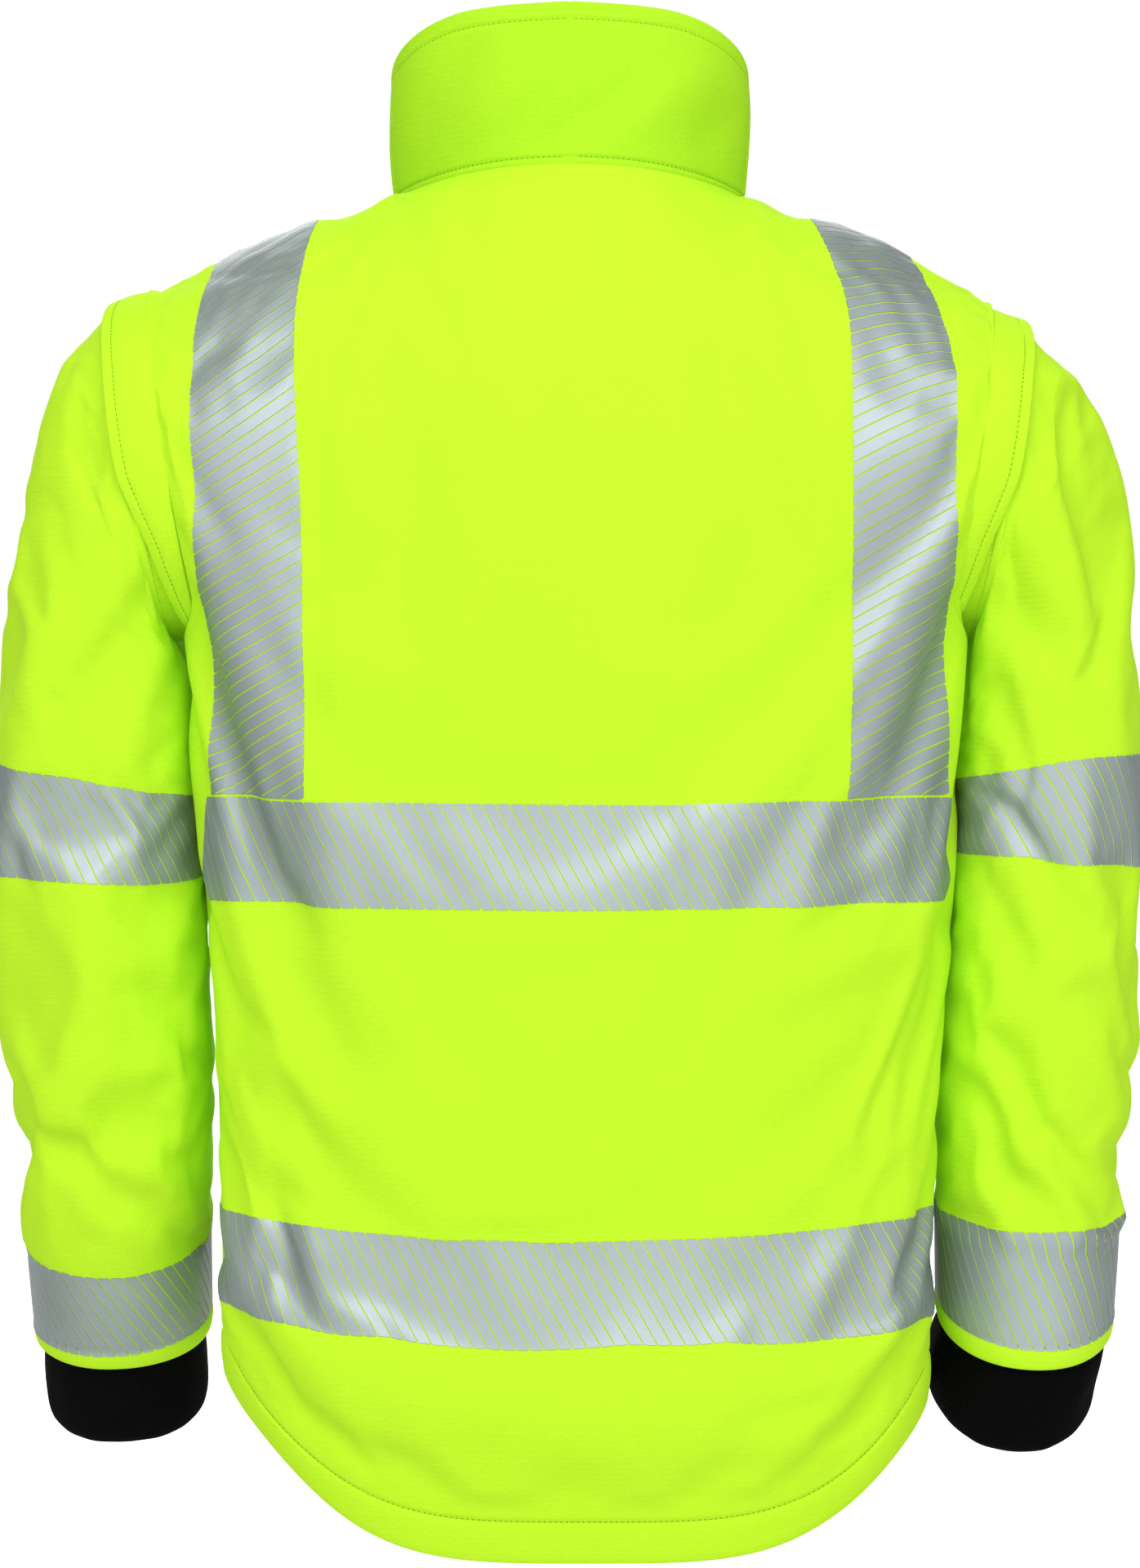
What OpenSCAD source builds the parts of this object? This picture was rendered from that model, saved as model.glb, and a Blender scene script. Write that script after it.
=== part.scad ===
// High-visibility soft-shell jacket with zip-off sleeves, as worn on a form.
// +Z up, front (zip) towards -Y, wearer's left towards +X.
// Origin: centre of the neck opening, level with the centre-back neck seam.

/* [Torso] */
// Half width of the torso at the hem
hem_half_w = 177; // [165:1:185]
// Half width of the torso at the waist
waist_half_w = 180; // [170:1:182]
// Half width of the torso under the arms
chest_half_w = 188; // [180:1:190]
// Depth of the back from the side seam plane at the chest
back_depth = 117; // [105:1:125]
// Depth of the front at the hem
front_depth = 126; // [115:1:135]
// Drop from the neck seam to the side hem
side_drop = 617; // [590:1:640]
// Extra drop of the tail at the centre back
tail_drop = 66; // [20:1:80]
// Cloth thickness of the bonded soft shell
cloth_t = 2; // [1.6:0.1:2.4]

/* [Shoulders and neck] */
// Half width of the shoulder line at the sleeve seam
shoulder_half_w = 216; // [210:1:222]
// Fall of the shoulder line per millimetre of width
shoulder_fall = 0.395; // [0.34:0.005:0.42]
// Half width of the neck opening
neck_half_w = 90; // [86:1:94]
// Height of the collar at the centre back
collar_h = 80; // [65:1:90]

/* [Sleeves] */
// Radius of the circular sleeve opening at the zip
armhole_r = 86; // [84:0.5:88]
// Tilt of the sleeve opening from vertical, degrees
armhole_tilt = 8.5; // [6:0.5:10]
// Width of the cap that covers the sleeve zip, at the shoulder
cap_w = 25; // [18:1:28]

/* [Reflective tape] */
// Width of the reflective tape
tape_w = 50.8; // [48:0.1:55]
// Thickness of the reflective tape
tape_t = 0.4; // [0.3:0.1:0.8]

/* [Zips] */
// Thickness of the zip teeth
teeth_t = 2.4; // [2:0.1:2.8]
// Pitch of the zip teeth
teeth_pitch = 3; // [2.5:0.5:4]
// Length of the hand pocket zips
pocket_len = 140; // [120:1:145]

/* [Hidden] */
NODES = ["back_panel", "left_front_panel", "right_front_panel", "collar", "collar_facing",
  "hang_loop", "hem_facing", "hem_drawcord", "left_cord_lock_barrel", "right_cord_lock_barrel",
  "left_cord_lock_plunger", "right_cord_lock_plunger",
  "upper_band_back", "upper_band_left_front", "upper_band_right_front",
  "lower_band_back", "lower_band_left_front", "lower_band_right_front",
  "left_shoulder_tape", "right_shoulder_tape", "left_armhole_cap", "right_armhole_cap",
  "left_armhole_stringer", "right_armhole_stringer",
  "left_sleeve_stringer", "right_sleeve_stringer",
  "left_armhole_slider", "right_armhole_slider", "left_armhole_pull", "right_armhole_pull",
  "left_sleeve", "right_sleeve", "left_storm_cuff", "right_storm_cuff",
  "left_upper_sleeve_tape", "right_upper_sleeve_tape",
  "left_lower_sleeve_tape", "right_lower_sleeve_tape",
  "front_zip_left_tape", "front_zip_right_tape", "front_zip_left_teeth", "front_zip_right_teeth",
  "front_zip_pin", "front_zip_box", "front_zip_slider", "front_zip_pull",
  "left_front_facing", "right_front_facing", "storm_flap",
  "left_pocket_zip", "right_pocket_zip", "left_pocket_slider", "right_pocket_slider",
  "left_pocket_pull", "right_pocket_pull", "left_pocket_bag", "right_pocket_bag"];
node = "all";

lime = [0.72, 0.95, 0.12];
silver = [0.78, 0.8, 0.82];
black = [0.05, 0.05, 0.05];
slider_grey = [0.08, 0.08, 0.08];
fitting_grey = [0.1, 0.1, 0.1];
zip_grey = [0.12, 0.12, 0.12];
teeth_grey = [0.15, 0.15, 0.15];

// Halves of the torso, also their direction along Y
back = 1;
front = -1;

// ---- Maths
function unit(v) = v / norm(v);
function mix(a, b, t) = a + (b - a) * t;
function smooth(t) = let (c = min(1, max(0, t))) c * c * (3 - 2 * c);
function signed_pow(value, power) = sign(value) * abs(value) ^ power;
// Height of a unit superellipse at a share of its half width
function superellipse(share, power) = (1 - share ^ power) ^ (1 / power);

// Smooth table lookup: cubic through rows of [key, value], keys rising
function segment(table, key, k = 0) =
  (k >= len(table) - 2 || key < table[k + 1][0]) ? k : segment(table, key, k + 1);
function slope(table, k) =
  let (a = table[max(0, k - 1)], b = table[min(len(table) - 1, k + 1)])
  (b[1] - a[1]) / (b[0] - a[0]);
function curve(table, key) =
  let (inside = min(max(key, table[0][0]), table[len(table) - 1][0]),
    k = segment(table, inside),
    step = table[k + 1][0] - table[k][0],
    t = (inside - table[k][0]) / step)
  (2 * t ^ 3 - 3 * t ^ 2 + 1) * table[k][1]
  + (t ^ 3 - 2 * t ^ 2 + t) * slope(table, k) * step
  + (3 * t ^ 2 - 2 * t ^ 3) * table[k + 1][1]
  + (t ^ 3 - t ^ 2) * slope(table, k + 1) * step;

// ---- Grids of points and the closed shell between two grids
function normal(grid, i, j) =
  let (rows = len(grid), cols = len(grid[0]),
    up = grid[min(rows - 1, i + 1)][j] - grid[max(0, i - 1)][j],
    along = grid[i][min(cols - 1, j + 1)] - grid[i][max(0, j - 1)])
  unit(cross(along, up));
function raise(grid, d) = [for (i = [0:len(grid) - 1])
  [for (j = [0:len(grid[0]) - 1]) grid[i][j] + d * normal(grid, i, j)]];
function flat(grid) = [for (row = grid) for (point = row) point];
function quad(a, b, c, d) = [[a, b, c], [a, c, d]];

// Open grids: rows run up, columns run left to right seen from outside.
// Looped grids: rows run down, columns join up anticlockwise seen from above.
module shell(outer_grid, inner_grid, loop = false) {
  rows = len(outer_grid);
  cols = len(outer_grid[0]);
  last = rows - 1;
  col_steps = [0:(loop ? cols : cols - 1) - 1];
  function outer(i, j) = i * cols + j % cols;
  function inner(i, j) = rows * cols + outer(i, j);
  // closes the edge along column j
  function end_wall(j) = [for (i = [0:last - 1])
    each quad(outer(i, j), inner(i, j), inner(i + 1, j), outer(i + 1, j))];
  function turned(faces) = [for (f = faces) [f[0], f[2], f[1]]];
  // the far end wall keeps its own diagonal
  far_wall = [for (i = [0:last - 1]) let (j = cols - 1)
    each quad(outer(i, j), outer(i + 1, j), inner(i + 1, j), inner(i, j))];
  faces = concat(
    [for (i = [0:last - 1]) for (j = col_steps)
      each quad(outer(i, j), outer(i + 1, j), outer(i + 1, j + 1), outer(i, j + 1))],
    [for (i = [0:last - 1]) for (j = col_steps)
      each quad(inner(i, j), inner(i, j + 1), inner(i + 1, j + 1), inner(i + 1, j))],
    [for (j = col_steps) each quad(outer(0, j), outer(0, j + 1), inner(0, j + 1), inner(0, j))],
    [for (j = col_steps)
      each quad(outer(last, j), inner(last, j), inner(last, j + 1), outer(last, j + 1))],
    loop ? [] : end_wall(0),
    loop ? [] : far_wall);
  polyhedron(points = concat(flat(outer_grid), flat(inner_grid)),
    faces = loop ? turned(faces) : faces, convexity = 10);
}
// Sheet between two heights above a grid
module sheet(grid, low, high) shell(raise(grid, high), raise(grid, low));

// Closed tube along a path that runs roughly level
module tube(path, r, n = 12) {
  count = len(path);
  points = [for (i = [0:count - 1])
    let (dir = unit(path[min(count - 1, i + 1)] - path[max(0, i - 1)]),
      level = unit(cross(dir, [0, 0, 1])),
      upright = cross(level, dir))
    each [for (k = [0:n - 1])
      path[i] + r * (cos(360 * k / n) * level + sin(360 * k / n) * upright)]];
  function id(i, k) = i * n + k % n;
  polyhedron(points = points, faces = concat(
    [[for (k = [0:n - 1]) k]],
    [[for (k = [n - 1:-1:0]) id(count - 1, k)]],
    [for (i = [0:count - 2]) for (k = [0:n - 1])
      each quad(id(i, k), id(i + 1, k), id(i + 1, k + 1), id(i, k + 1))]), convexity = 10);
}

// Pieces are drawn on the wearer's left (+X) and mirrored for the right
module on_side(left) {
  if (left) children();
  else mirror([1, 0, 0]) children();
}

// ---- Torso surface: y as a function of x and z, for the back and the front
armhole_z = -147;                 // height of the armhole centre
armhole_x = 203;                  // half width at the armhole centre
armhole_edge_r = 93;              // radius of the armhole edge of the cloth
cloth_inset = 8;                  // from the armhole zip back to the edge of the cloth
shoulder_edge_x = shoulder_half_w - cloth_inset;
shoulder_run = shoulder_edge_x - neck_half_w;
neck_side_z = -8;                 // neck seam at the shoulder line
neck_front_z = -45;               // neck seam at the centre front
shoulder_z = neck_side_z - shoulder_fall * shoulder_run;
yoke_z = -170;                    // above this height front and back close to the ridge
yoke_power = 2.2;                 // superellipse power of that closing
yoke_row = 0.55;                  // share of the panel rows below yoke_z
zip_slope = 0.078;                // backward lean of the front zip line
front_edge_x = 20;                // edge of each front panel beside the zip
seam_gap = 0.8;                   // front and back each move off the side plane by this

// [z, half width]
half_widths = [[-side_drop - 70, hem_half_w], [-side_drop, hem_half_w], [-540, waist_half_w],
  [-440, waist_half_w - 1], [-366, 182], [-300, 186], [-240, chest_half_w]];
// [z, depth of the back]
back_depths = [[-690, 106], [-600, 109], [-480, 105], [-400, 108], [-300, back_depth - 2],
  [-200, back_depth + 1], [-120, back_depth - 1], [0, 104], [60, 100]];
// [z, superellipse power of the level section]
section_powers = [[-690, 2.5], [-400, 2.6], [-300, 2.7], [-240, 3.2], [-150, 4], [60, 4]];

// Height of the line where front and back meet; it is domed across the neck
function ridge(x) =
  let (run = max(0, abs(x) - neck_half_w),
    dome = max(0, 1 - (x / neck_half_w) ^ 2))
  neck_side_z - shoulder_fall * (0.62 * run + 0.38 * run * run / shoulder_run)
  + 11 * dome + 42 * dome * dome;
// Share of the full depth left at height z
function closing(x, z) = z <= yoke_z ? 1
  : let (share = (z - yoke_z) / (ridge(x) - yoke_z))
    share >= 1 ? 0 : superellipse(share, yoke_power);
// Height of the closing curve at a turn from 0 (yoke_z) to 90 degrees (the ridge)
function over_z(x, turn) = yoke_z + (ridge(x) - yoke_z) * sin(turn) ^ (2 / yoke_power);

// Straight line of the front zip
function zip_y(z) = -(front_depth - zip_slope * (z + side_drop));
function armhole_plane_x(z) =
  armhole_x + (z - armhole_z) * tan(armhole_tilt) - cloth_inset / cos(armhole_tilt);
// Half width of the cloth: the side seam, then the armhole edge, then the shoulder
function edge_x(z) = z < armhole_z - armhole_edge_r ? curve(half_widths, z)
  : z > shoulder_z ? shoulder_edge_x
  : mix(curve(half_widths, z), min(armhole_plane_x(z), shoulder_edge_x),
      smooth((z - armhole_z + armhole_edge_r) / 30));
function edge_y(z) = abs(z - armhole_z) >= armhole_edge_r ? 0
  : sqrt(armhole_edge_r ^ 2 - (z - armhole_z) ^ 2);
// The front fills out between the zip and the armhole
function chest(x, z) = 1 + 0.14 * smooth((abs(x) - 20) / 60) * exp(-((z + 150) / 85) ^ 2);
// Depth before the section rounds off to the side
function full_depth(half, x, z) = half == back
  ? curve(back_depths, z) * closing(x, z)
  : -zip_y(z) * chest(x, z) * closing(x, z) / closing(0, z);
// Half width of the whole section, of which the armhole cuts off the end
function section_half_w(half, z) =
  let (share = min(0.93, edge_y(z) / max(1, full_depth(half, armhole_x, z))))
  edge_x(z) / superellipse(share, curve(section_powers, z));
function torso_y(half, x, z) = half * full_depth(half, x, z)
  * superellipse(min(1, abs(x) / section_half_w(half, z)), curve(section_powers, z));
function on_torso(half, x, z) = [x, torso_y(half, x, z), z];
function on_cloth(half, x, z) = on_torso(half, x, z) + [0, half * seam_gap, 0];

function neck_z(half, x) = half == back
  ? neck_side_z * (x / neck_half_w) ^ 2
  : neck_front_z + (neck_side_z - neck_front_z) * (abs(x) / neck_half_w) ^ 2.6;
function hem_z(half, x) = let (share = min(1, abs(x) / hem_half_w)) half == back
  ? -side_drop - tail_drop * (1 - share ^ 4.6)
  : -side_drop + 4 * (1 - share * share);

// ---- Torso panels
panel_cols = 13;                  // column steps from the centre to the side
// rows from the hem (0) to the shoulder or neck seam (1)
panel_rows = [0, 0.05, 0.1, 0.16, 0.22, 0.28, 0.34, 0.4, 0.432, 0.455, 0.478, 0.5, 0.525, 0.55,
  0.61, 0.67, 0.73, 0.79, 0.85, 0.9, 0.95, 1];

// Columns as shares of the half width, closer together towards the side.
// A divisor above panel_cols stops them short of the side edge.
function bunch(t) = sin(90 * t) ^ 0.77;
function columns(half, divisor) = half == back
  ? [for (i = [-panel_cols:panel_cols]) -sign(i) * bunch(abs(i) / divisor)]
  : [for (i = [0:panel_cols]) bunch(i / divisor)];
// x at a share of the way from the centre back or front edge to the side
function across(half, share, side_x) =
  let (start = half == back ? 0 : front_edge_x) start + (side_x - start) * share;

function panel_pt(half, share, row) =
  let (top_x = across(half, abs(share), shoulder_edge_x),
    low_z = hem_z(half, across(half, abs(share), hem_half_w)),
    last_turn = top_x >= neck_half_w ? 90
      : asin(min(1, ((neck_z(half, top_x) - yoke_z) / (ridge(top_x) - yoke_z))
          ^ (yoke_power / 2))),
    z = row < yoke_row ? mix(low_z, yoke_z, row / yoke_row)
      : over_z(top_x, last_turn * (row - yoke_row) / (1 - yoke_row)))
  on_cloth(half, across(half, share, edge_x(z)), z);
module panel(half) {
  shares = columns(half, panel_cols);
  sheet([for (row = panel_rows) [for (share = shares) panel_pt(half, share, row)]], -cloth_t, 0);
}
module back_panel() color(lime) panel(back);
module front_panel(left) color(lime) on_side(left) panel(front);

// ---- Collar: from the neck seam to its top edge
collar_gap = 1.6;                 // between the neck seam and the collar
collar_open = 13;                 // half angle of the front opening
collar_side_h = collar_h - 14;
collar_angles = [for (k = [0:36]) mix(-90 + collar_open, 270 - collar_open, k / 36)];

function neck_pt(angle) =
  let (x = neck_half_w * signed_pow(cos(angle), 0.9), half = sin(angle) >= 0 ? back : front)
  on_torso(half, x, neck_z(half, x));
// Point at a share of the collar height; angle 0 is the wearer's left, 90 the centre back
function collar_pt(angle, share) =
  let (base = neck_pt(angle), c = cos(angle), s = sin(angle),
    bulge = sin(180 * share),
    rise = (collar_side_h + (s >= 0 ? 14 : -18) * s) * share)
  [base[0] * (1 + 0.03 * bulge) + 2 * share * c,
    base[1] + (s >= 0 ? (-2 * share + 3 * bulge) * s : -zip_slope * rise * s),
    base[2] + collar_gap + rise];
function collar_grid(shares) =
  [for (share = shares) [for (angle = collar_angles) collar_pt(angle, share)]];
module collar() color(lime) sheet(collar_grid([0, 0.2, 0.4, 0.6, 0.8, 1]), 0, cloth_t);
module collar_facing() color(lime) sheet(collar_grid([0.05, 0.28, 0.51, 0.74, 0.98]), -1.9, -0.6);

// Flat loop inside the back of the neck, its corners at [half width, height]
module loop_outline(top, bottom, r) hull() {
  translate([-top[0], top[1]]) circle(r, $fn = 32);
  translate([top[0], top[1]]) circle(r, $fn = 32);
  translate([-bottom[0], bottom[1]]) circle(r, $fn = 32);
  translate([bottom[0], bottom[1]]) circle(r, $fn = 32);
}
module hang_loop() color(black) translate([0, 58, -9]) rotate([90, 0, 0])
  linear_extrude(1.2) difference() {
    loop_outline(top = [32, 6], bottom = [26, -6], r = 5);
    loop_outline(top = [26, 2], bottom = [24, -4], r = 2.6);
  }

// ---- Hem: facing inside the tail, with the elastic drawcord between
cord_r = 0.9;
cord_rise = 12;                   // height above the hem edge
cord_inset = 4.6;                 // inwards from the outside of the back

function on_hem(share, rise) =
  let (z = hem_z(back, share * hem_half_w) + rise) on_torso(back, share * edge_x(z), z);
module hem_facing() color(lime)
  sheet([for (rise = [2, 11, 20, 28]) [for (share = columns(back, 13.4)) on_hem(share, rise)]],
    -cloth_t - 5.6, -cloth_t - 4.2);
function cord_pt(share) =
  let (point = on_hem(share, cord_rise), z = point[2],
    way = share < 0 ? -1 : 1,
    near = on_torso(back, (share - 0.01 * way) * edge_x(z), z),
    tangent = unit(point - near) * way)
  point + cord_inset * [tangent[1], -tangent[0], 0];
module hem_drawcord() color(black)
  tube([for (i = [-16:16]) cord_pt(sign(i) * bunch(abs(i) / 17.2))], cord_r);

// Cord locks inside the side seams, barrel axis along Z, plunger pushed in from below
lock_pt = [hem_half_w - 19, 4, -side_drop + 32];
lock_r = 7;
bore_r = 5.3;
barrel_h = 16;
plunger_r = 5.22;
head_r = 6.4;

module cross_hole(r, z) translate([-10, 0, z]) rotate([0, 90, 0]) cylinder(r = r, h = 20, $fn = 32);
module lock_barrel(left) color(black) on_side(left) translate(lock_pt) difference() {
  union() {
    cylinder(r = lock_r, h = barrel_h, $fn = 48);
    translate([0, 0, barrel_h - 1]) cylinder(r1 = lock_r, r2 = 5.4, h = 2, $fn = 48);
  }
  translate([0, 0, -1]) cylinder(r = bore_r, h = 13, $fn = 48);
  cross_hole(r = 2, z = 9);
}
module lock_plunger(left) color(zip_grey) on_side(left) translate(lock_pt) difference() {
  union() {
    translate([0, 0, -5]) cylinder(r = plunger_r, h = 13, $fn = 48);
    translate([0, 0, -7]) cylinder(r = head_r, h = 2, $fn = 48);
  }
  cross_hole(r = 1.9, z = 5.6);
}

// ---- Reflective bands on the torso
tape_lift = 0.9;                  // clearance between cloth and tape
upper_z = -332;                   // middle of the upper band
lower_z = -549;                   // middle of the lower band

// The bands sag 3 mm at the centre back and rise 2 mm at the centre front
function band_z(half, x, z) = z - (half == back ? 3 : -2) * (1 - (x / 180) ^ 2);
module band(half, middle_z) {
  grid = [for (k = [0:3]) let (z = middle_z + tape_w * (k / 3 - 0.5))
    [for (share = columns(half, 13.15)) let (x = across(half, share, edge_x(z)))
      on_cloth(half, x, band_z(half, x, z))]];
  color(silver) sheet(grid, tape_lift, tape_lift + tape_t);
}
module back_band(middle_z) band(back, middle_z);
module front_band(left, middle_z) on_side(left) band(front, middle_z);

// ---- Reflective shoulder tapes, from the front band over the shoulder to the back band
shoulder_tape_x = 145;
shoulder_tape_lift = tape_lift + 1.3;
shoulder_tape_turns = [9, 18, 27, 36, 45, 54, 63, 72, 81, 84, 87, 89.6];

module shoulder_tape(left) {
  low_z = upper_z + tape_w / 2 + 3;
  xs = [for (i = [0:4]) shoulder_tape_x + tape_w * (i / 4 - 0.5)];
  // rows from the band up to the ridge
  function climb(half) = concat(
    [for (k = [0:10]) [for (x = xs) on_cloth(half, x, mix(low_z, yoke_z, k / 10))]],
    [for (turn = shoulder_tape_turns) [for (x = xs) on_cloth(half, x, over_z(x, turn))]]);
  behind = climb(back);
  grid = concat(climb(front), [for (i = [len(behind) - 1:-1:0]) behind[i]]);
  color(silver) on_side(left) sheet(grid, shoulder_tape_lift, shoulder_tape_lift + tape_t);
}

// ---- Zip parts; x is measured from the line where the teeth meet
zip_tape_t = 0.6;
teeth_near = 0.6;
teeth_far = 2.1;
teeth_w = teeth_far - teeth_near;
slider_gap = teeth_t / 2 + 0.45;  // from the zip plane to a slider plate
bar_out = slider_gap + 3;         // from the zip plane to the bar that carries the pull
armhole_bar_out = slider_gap + 1.9;

// Slider frame: the zip runs along Z, teeth meet on the YZ plane, the outside is -Y
module slider(half_w, plate_t, length, divider_l, lug, lug_x, lug_over, bar_r, bar_out) {
  for (s = [-1, 1])
    translate([-half_w, s > 0 ? slider_gap : -slider_gap - plate_t, -length / 2])
      cube([2 * half_w, plate_t, length]);
  translate([-0.35, -slider_gap - 0.2, length / 2 - divider_l])
    cube([0.7, 2 * slider_gap + 0.4, divider_l]);
  // bridge that carries the pull
  for (s = [-1, 1])
    translate([s * lug_x - lug[0] / 2, -bar_out - lug_over, -lug[2] / 2]) cube(lug);
  translate([-lug_x, -bar_out, 0]) rotate([0, 90, 0]) cylinder(r = bar_r, h = 2 * lug_x, $fn = 32);
}
module zip_slider() slider(half_w = 5.2, plate_t = 1.1, length = 11, divider_l = 3,
  lug = [1.2, 3, 2.8], lug_x = 2.4, lug_over = 1, bar_r = 0.7, bar_out = bar_out);
// Cylinder along X about the bar of the slider
module bar_cylinder(r, l) translate([-l / 2, 0, 0]) rotate([0, 90, 0]) cylinder(r = r, h = l, $fn = 32);
knuckle_w = 3.4;
module pull_tab(length, w) translate([0, -bar_out, 0]) {
  end_y = -length + w / 2;
  difference() {
    union() {
      translate([-knuckle_w / 2, -1.1, -3]) cube([knuckle_w, 2.2, 3]);
      bar_cylinder(r = 1.4, l = knuckle_w);
    }
    bar_cylinder(r = 0.78, l = 6);
  }
  translate([0, 0.6, -3]) rotate([90, 0, 0]) linear_extrude(1.2) difference() {
    hull() {
      translate([-1.6, 0.6]) square([3.2, 0.1]);
      translate([0, -6]) circle(w / 2, $fn = 32);
      translate([0, end_y]) circle(w / 2, $fn = 32);
    }
    translate([0, end_y + 1]) circle(1.5, $fn = 32);
  }
}

// ---- Armhole: cap, two zip stringers and the slider that runs round between them
cap_r = armhole_r + 9.3;
cap_t = 2;
cap_low_w = 8;                    // width of the cap on the side away from the shoulder
slider_turn = -18;                // slider place on the ring, forward of its lowest point

// Armhole frame: Z points out along the sleeve, X down, Y back
module armhole(left) on_side(left) translate([armhole_x, 0, armhole_z])
  rotate([0, 90 + armhole_tilt, 0]) children();
module ring(r0, r1, z0, z1) translate([0, 0, z0]) difference() {
  cylinder(r = r1, h = z1 - z0, $fn = 96);
  translate([0, 0, -1]) cylinder(r = r0, h = z1 - z0 + 2, $fn = 96);
}
module armhole_cap(left) {
  slant = atan((cap_w - cap_low_w) / (2 * cap_r));
  color(lime) armhole(left) difference() {
    rotate_extrude($fn = 96) polygon([[cap_r, -5.5], [cap_r + cap_t, -5.5], [cap_r + cap_t, 7],
      [cap_r - 2.6, cap_w], [cap_r - 2.6 - cap_t, cap_w], [cap_r, 6]]);
    translate([0, 0, (cap_w + cap_low_w) / 2]) rotate([0, slant, 0])
      translate([-150, -150, 0]) cube([300, 300, 80]);
    // left open under the arm
    translate([cap_r - 26, -80, -20]) cube([60, 160, 60]);
  }
}
// Ring on one side of the armhole plane, from near to far off it
module zip_ring(outward, thick, near, far)
  ring(armhole_r - thick / 2, armhole_r + thick / 2, outward ? near : -far, outward ? far : -near);
module stringer(left, outward) color(lime) armhole(left) {
  zip_ring(outward, zip_tape_t, near = 2, far = 12.5);
  zip_ring(outward, teeth_t, near = teeth_near, far = teeth_far);
}
module at_slider(left) armhole(left) rotate([0, 0, slider_turn]) translate([armhole_r, 0, 0])
  rotate([0, 0, 90]) rotate([0, -90, 0]) children();
module armhole_slider(left) color(fitting_grey) at_slider(left)
  slider(half_w = 5, plate_t = 0.9, length = 9, divider_l = 2.5,
    lug = [1, 2.1, 2.4], lug_x = 2.3, lug_over = 0.9, bar_r = 0.5, bar_out = armhole_bar_out);
// Short pull that lies back along the ring
module armhole_pull(left) color(fitting_grey) at_slider(left)
  translate([0, -armhole_bar_out, 0]) difference() {
    union() {
      bar_cylinder(r = 0.95, l = knuckle_w);
      translate([-knuckle_w / 2, -0.6, -3]) cube([knuckle_w, 1.2, 3]);
      translate([-2.8, -0.5, -12]) cube([5.6, 1, 9.3]);
    }
    bar_cylinder(r = 0.56, l = 6);
  }

// ---- Sleeve: sections between an outer and an inner profile line
// Each table is [s, value], with s from 0 at the armhole to 1 at the wrist
outer_xs = [[0, 225], [0.08, 240], [0.16, 256], [0.24, 269], [0.32, 278], [0.42, 285],
  [0.55, 290], [0.66, 291], [0.78, 288], [0.9, 281], [1, 274]];
outer_zs = [[0, -61], [0.08, -73], [0.16, -96], [0.24, -127], [0.32, -165], [0.42, -222],
  [0.55, -300], [0.66, -370], [0.78, -448], [0.9, -526], [1, -592]];
inner_xs = [[0, 200], [0.1, 199], [0.3, 195], [0.5, 191], [0.66, 189], [0.78, 186.5],
  [0.9, 187], [1, 188.5]];
inner_zs = [[0, -232], [0.1, -238], [0.3, -252], [0.42, -275], [0.55, -320], [0.66, -380],
  [0.78, -454], [0.9, -530], [1, -594]];
half_ys = [[0, 86], [0.1, 84], [0.24, 76], [0.4, 68], [0.55, 63], [0.78, 57], [1, 50]];
mid_ys = [[0, 0], [0.3, 0], [0.55, -5], [0.78, -18], [1, -38]];
// fall of the section per millimetre towards the back
leans = [[0, 0], [0.3, 0], [0.55, 0.08], [0.78, 0.16], [1, 0.22]];
sleeve_rows = [0, 0.06, 0.12, 0.18, 0.25, 0.32, 0.4, 0.48, 0.56, 0.64, 0.72, 0.8, 0.88, 0.95, 1];
sleeve_angles = [for (k = [0:35]) k * 10];
sleeve_power = 2.15;              // superellipse power of the section
sleeve_shift = [5, 0, -0.75];     // moves the sleeve clear of the armhole

function sleeve_pt(s, angle, grow = 0) =
  let (outer = [curve(outer_xs, s), 0, curve(outer_zs, s)],
    inner = [curve(inner_xs, s), 0, curve(inner_zs, s)],
    arm = (outer - inner) / 2)
  (outer + inner) / 2 + [0, curve(mid_ys, s), 0]
  + arm * (1 + grow / norm(arm)) * signed_pow(cos(angle), 2 / sleeve_power)
  + [0, 1, -curve(leans, s)] * (curve(half_ys, s) + grow)
    * signed_pow(sin(angle), 2 / sleeve_power);
function sleeve_grid(sections, grow) =
  [for (s = sections) [for (angle = sleeve_angles) sleeve_pt(s, angle, grow)]];
module sleeve_shell(left, outer_grid, inner_grid)
  on_side(left) translate(sleeve_shift) shell(outer_grid, inner_grid, loop = true);
module sleeve(left) color(lime)
  sleeve_shell(left, sleeve_grid(sleeve_rows, 0), sleeve_grid(sleeve_rows, -cloth_t));

// [depth below the origin, s] along the middle of the sleeve
sleeve_depths = [for (s = [0:0.05:1]) [-(curve(outer_zs, s) + curve(inner_zs, s)) / 2, s]];
module sleeve_tape(left, middle_z) {
  top = curve(sleeve_depths, -middle_z - tape_w / 2);
  bottom = curve(sleeve_depths, -middle_z + tape_w / 2);
  sections = [for (k = [0:3]) mix(top, bottom, k / 3)];
  color(silver) sleeve_shell(left,
    sleeve_grid(sections, tape_lift + tape_t), sleeve_grid(sections, tape_lift));
}
upper_sleeve_tape_z = -325;
lower_sleeve_tape_z = -553;

// Cuff rings: [share of the drop below the wrist, growth over the wrist section]
cuff_rings = [[-0.35, -6.5], [-0.12, -5.5], [0, -5], [0.12, -2.5], [0.3, 0], [0.65, 0], [1, -2.5]];
cuff_drop = 58;
cuff_forward = 14;
cuff_t = 1.6;
function cuff_grid(inset) = [for (row = cuff_rings) [for (angle = sleeve_angles)
  sleeve_pt(1, angle, row[1] - inset) + [0, -cuff_forward * max(0, row[0]), -cuff_drop * row[0]]]];
module storm_cuff(left) color(black) sleeve_shell(left, cuff_grid(0), cuff_grid(cuff_t));

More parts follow.
